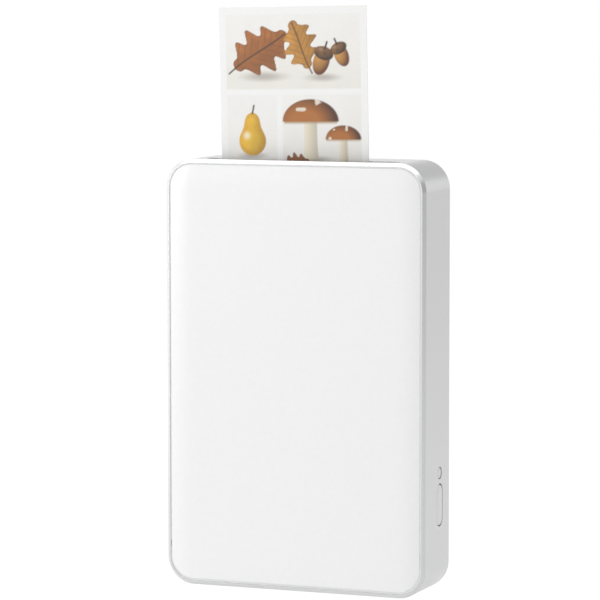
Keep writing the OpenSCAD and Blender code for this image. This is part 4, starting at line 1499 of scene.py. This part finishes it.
def stage_sheet(
    name: str, stuff: str, corners: Sequence[Sequence[float]], surface: Callable[[Tree], Socket]
) -> bpy.types.Object:
    """Puts a flat sheet beside the object, as part of the stage.

    Args:
        name: The sheet's name.
        stuff: What it is made of, the last part of its material's name.
        corners: Its four corners, metres.
        surface: Builds its material's nodes.

    Returns:
        The sheet.
    """
    mesh = bpy.data.meshes.new(name)
    mesh.from_pydata(corners, [], [(0, 1, 2, 3)])
    mesh.materials.append(new_material(f"{name}_{stuff}", surface))
    sheet = new_object(name, mesh)
    return sheet


@dataclass(frozen=True)
class Lamp:
    """A rectangular softbox that faces the object.

    Attributes:
        name: The lamp's name.
        place: Where it hangs, metres.
        size: Width and height, metres.
        watts: Its power.
        aim: The point that it faces.
    """

    name: str
    place: tuple[float, float, float]
    size: tuple[float, float]
    watts: float
    aim: tuple[float, float, float] = (0.0, 0.0, 0.08)

    def hang(self) -> None:
        """Adds the lamp to the scene."""
        data = bpy.data.lights.new(self.name, "AREA")
        data.shape = "RECTANGLE"
        data.size, data.size_y = self.size
        data.energy = self.watts
        lamp = new_object(self.name, data)
        lamp.location = self.place
        lamp.rotation_mode = "QUATERNION"
        way = Vector(self.aim) - Vector(self.place)
        lamp.rotation_quaternion = way.to_track_quat("-Z", "Y")


@dataclass(frozen=True)
class Card:
    """An upright card that only reflections see.

    Attributes:
        name: The card's name.
        foot: One lower corner, metres.
        top: The upper corner across from it.
        shade: Its colour, sRGB hex.
        strength: Its brightness, 1 for its plain colour.
    """

    name: str
    foot: tuple[float, float, float]
    top: tuple[float, float, float]
    shade: str
    strength: float = 1.0

    def surface(self, tree: Tree) -> Socket:
        """An even glow in the card's colour."""
        values = {"Color": linear(self.shade), "Strength": self.strength}
        return add_node(tree, "ShaderNodeEmission", values).outputs[0]

    def hang(self) -> None:
        """Adds the card to the scene."""
        (left, near, low), (right, far, high) = self.foot, self.top
        corners = [(left, near, low), (right, far, low), (right, far, high), (left, near, high)]
        card = stage_sheet(self.name, "felt", corners, self.surface)
        card.visible_camera = card.visible_diffuse = card.visible_shadow = False


# The overhead lamp lights the top, the exit slot and the upper chamfer. The one in front
# on the left models the cover, and the one behind on the left draws the ring's left edge.
LAMPS = (
    Lamp("overhead", (-0.08, -0.1, 0.95), (1.45, 0.8), 5.0),
    Lamp("front_left", (-1.13, -1.0, 0.24), (1.2, 0.9), 11.9),
    Lamp("left_rear", (-1.2, 0.45, 0.3), (0.8, 1.0), 6.5),
)
# The rear card greys the ring's top corner, the right one its right chamfer, and the
# left one whitens its left chamfer.
CARDS = (
    Card("rear_card", (-1.3, 1.7, 0.52), (1.3, 1.7, 1.5), "#D2D2D2"),
    Card("right_card", (1.5, -0.95, 0.0), (1.5, -0.25, 1.0), "#A4A4A4"),
    Card("left_card", (-0.25, 0.4, 0.0), (-0.25, -0.15, 0.35), "#FFFFFF", 1.22),
)


@dataclass
class Studio:
    """Camera, floor, backdrop and lamps.

    A share of the floor's light is an even glow, so that it stays white: floor_fill is
    that share for diffuse light, floor_mirrored for reflections and floor_seen for the
    camera, which leaves a faint shadow.
    """

    yaw: float = 21.637
    rise: float = 5.631
    roll: float = -0.048
    lens: float = 208.44
    sensor: float = 36.0
    sight: tuple[float, float] = (0.05, 20.0)
    distance: float = 1.1084
    target: tuple[float, float, float] = (-0.002611, 0.0001, 0.092)
    fill: float = 0.34
    floor_size: float = 6.0
    floor_fill: float = 0.6
    floor_seen: float = 0.9
    floor_mirrored: float = 0.65
    floor_glow: float = 1.08

    def camera(self) -> None:
        """Sets the camera where the photographer stood.

        The way back from the target is (sin a cos e, -cos a cos e, sin e) for the yaw
        a and the rise e.
        """
        a, e = math.radians(self.yaw), math.radians(self.rise)
        back = Vector((math.sin(a) * math.cos(e), -math.cos(a) * math.cos(e), math.sin(e)))
        data = bpy.data.cameras.new("camera")
        data.lens, data.sensor_width = self.lens, self.sensor
        data.clip_start, data.clip_end = self.sight
        camera = new_object("camera", data)
        camera.location = Vector(self.target) + back * self.distance
        camera.rotation_mode = "QUATERNION"
        facing = (-back).to_track_quat("-Z", "Y")
        camera.rotation_quaternion = Quaternion(-back, math.radians(-self.roll)) @ facing
        bpy.context.scene.camera = camera

    def seen_directly(self, tree: Tree) -> Socket:
        """1 where the camera, a reflection or a clear part looks, and 0 for diffuse light.

        Args:
            tree: The node tree.

        Returns:
            The socket with that value.
        """
        path = add_node(tree, "ShaderNodeLightPath").outputs
        mirrored = add_math(
            tree, "MAXIMUM", path["Is Glossy Ray"], path["Is Transmission Ray"]
        )
        return add_math(tree, "MAXIMUM", path["Is Camera Ray"], mirrored)

    def floor_surface(self, tree: Tree) -> Socket:
        """White paper, part of whose light is an even glow.

        Args:
            tree: The node tree.

        Returns:
            The shader.
        """
        camera = add_node(tree, "ShaderNodeLightPath").outputs["Is Camera Ray"]
        shares = {3: self.floor_fill, 4: self.floor_seen}
        seen = add_node(tree, "ShaderNodeMapRange", shares, {0: camera}).outputs[0]
        mirrored = add_math(tree, "MULTIPLY", self.seen_directly(tree), self.floor_mirrored)
        share = add_math(tree, "MAXIMUM", seen, mirrored)
        matt = add_node(tree, "ShaderNodeBsdfDiffuse", {"Color": linear("#F8F8F8")})
        light = {"Color": (1, 1, 1, 1), "Strength": self.floor_glow}
        glow = add_node(tree, "ShaderNodeEmission", light)
        parts = {0: share, 1: matt.outputs[0], 2: glow.outputs[0]}
        return add_node(tree, "ShaderNodeMixShader", links=parts).outputs[0]

    def floor(self) -> None:
        """Lays a plain white floor that keeps a soft shadow of the printer."""
        size = self.floor_size
        corners = [(-size, -size, 0), (size, -size, 0), (size, size, 0), (-size, size, 0)]
        stage_sheet("floor", "paper", corners, self.floor_surface)

    def backdrop(self) -> None:
        """A white world to the camera and in reflections, and a soft fill to the rest."""
        world = bpy.data.worlds.new("white_room")
        bpy.context.scene.world = world
        world.use_nodes = True
        tree = world.node_tree
        tree.nodes.clear()
        level = add_node(
            tree, "ShaderNodeMapRange", {3: self.fill, 4: 1.0}, {0: self.seen_directly(tree)}
        )
        strength = {"Strength": level.outputs[0]}
        ground = add_node(tree, "ShaderNodeBackground", {"Color": (1, 1, 1, 1)}, strength)
        add_node(tree, "ShaderNodeOutputWorld", links={"Surface": ground.outputs[0]})

    def build(self) -> None:
        """Sets the camera, the floor, the world, the cards and the lamps."""
        self.camera()
        self.floor()
        self.backdrop()
        for thing in CARDS + LAMPS:
            thing.hang()
        bpy.context.scene.view_settings.view_transform = "Standard"


# ------------------------------------------------------------------ putting it together


def dress_nodes(frame: dict[str, Any]) -> None:
    """Gives every node of the CAD model its finish.
    """
    for name, node in frame["nodes"].items():
        made = SHELF.get(NODE_FINISH[name])
        for number in range(len(node.material_slots)):
            node.material_slots[number].material = made
        LOG.info("%s: %s", name, made.name)


def main() -> None:
    """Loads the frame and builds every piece."""
    logging.basicConfig(level=logging.INFO, format="%(message)s")
    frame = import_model()
    Studio().build()
    dress_nodes(frame)
    makers: list[Callable[[], bpy.types.Object]] = [
        CoverFace().build,
        SeamLip().build,
        LeafSprings().build,
        PrintedSheet().build,
        SideButton().build,
        StatusLight().lens_piece,
        StatusLight().gasket_piece,
    ]
    for make in makers:
        make()


if __name__ == "__main__":
    main()
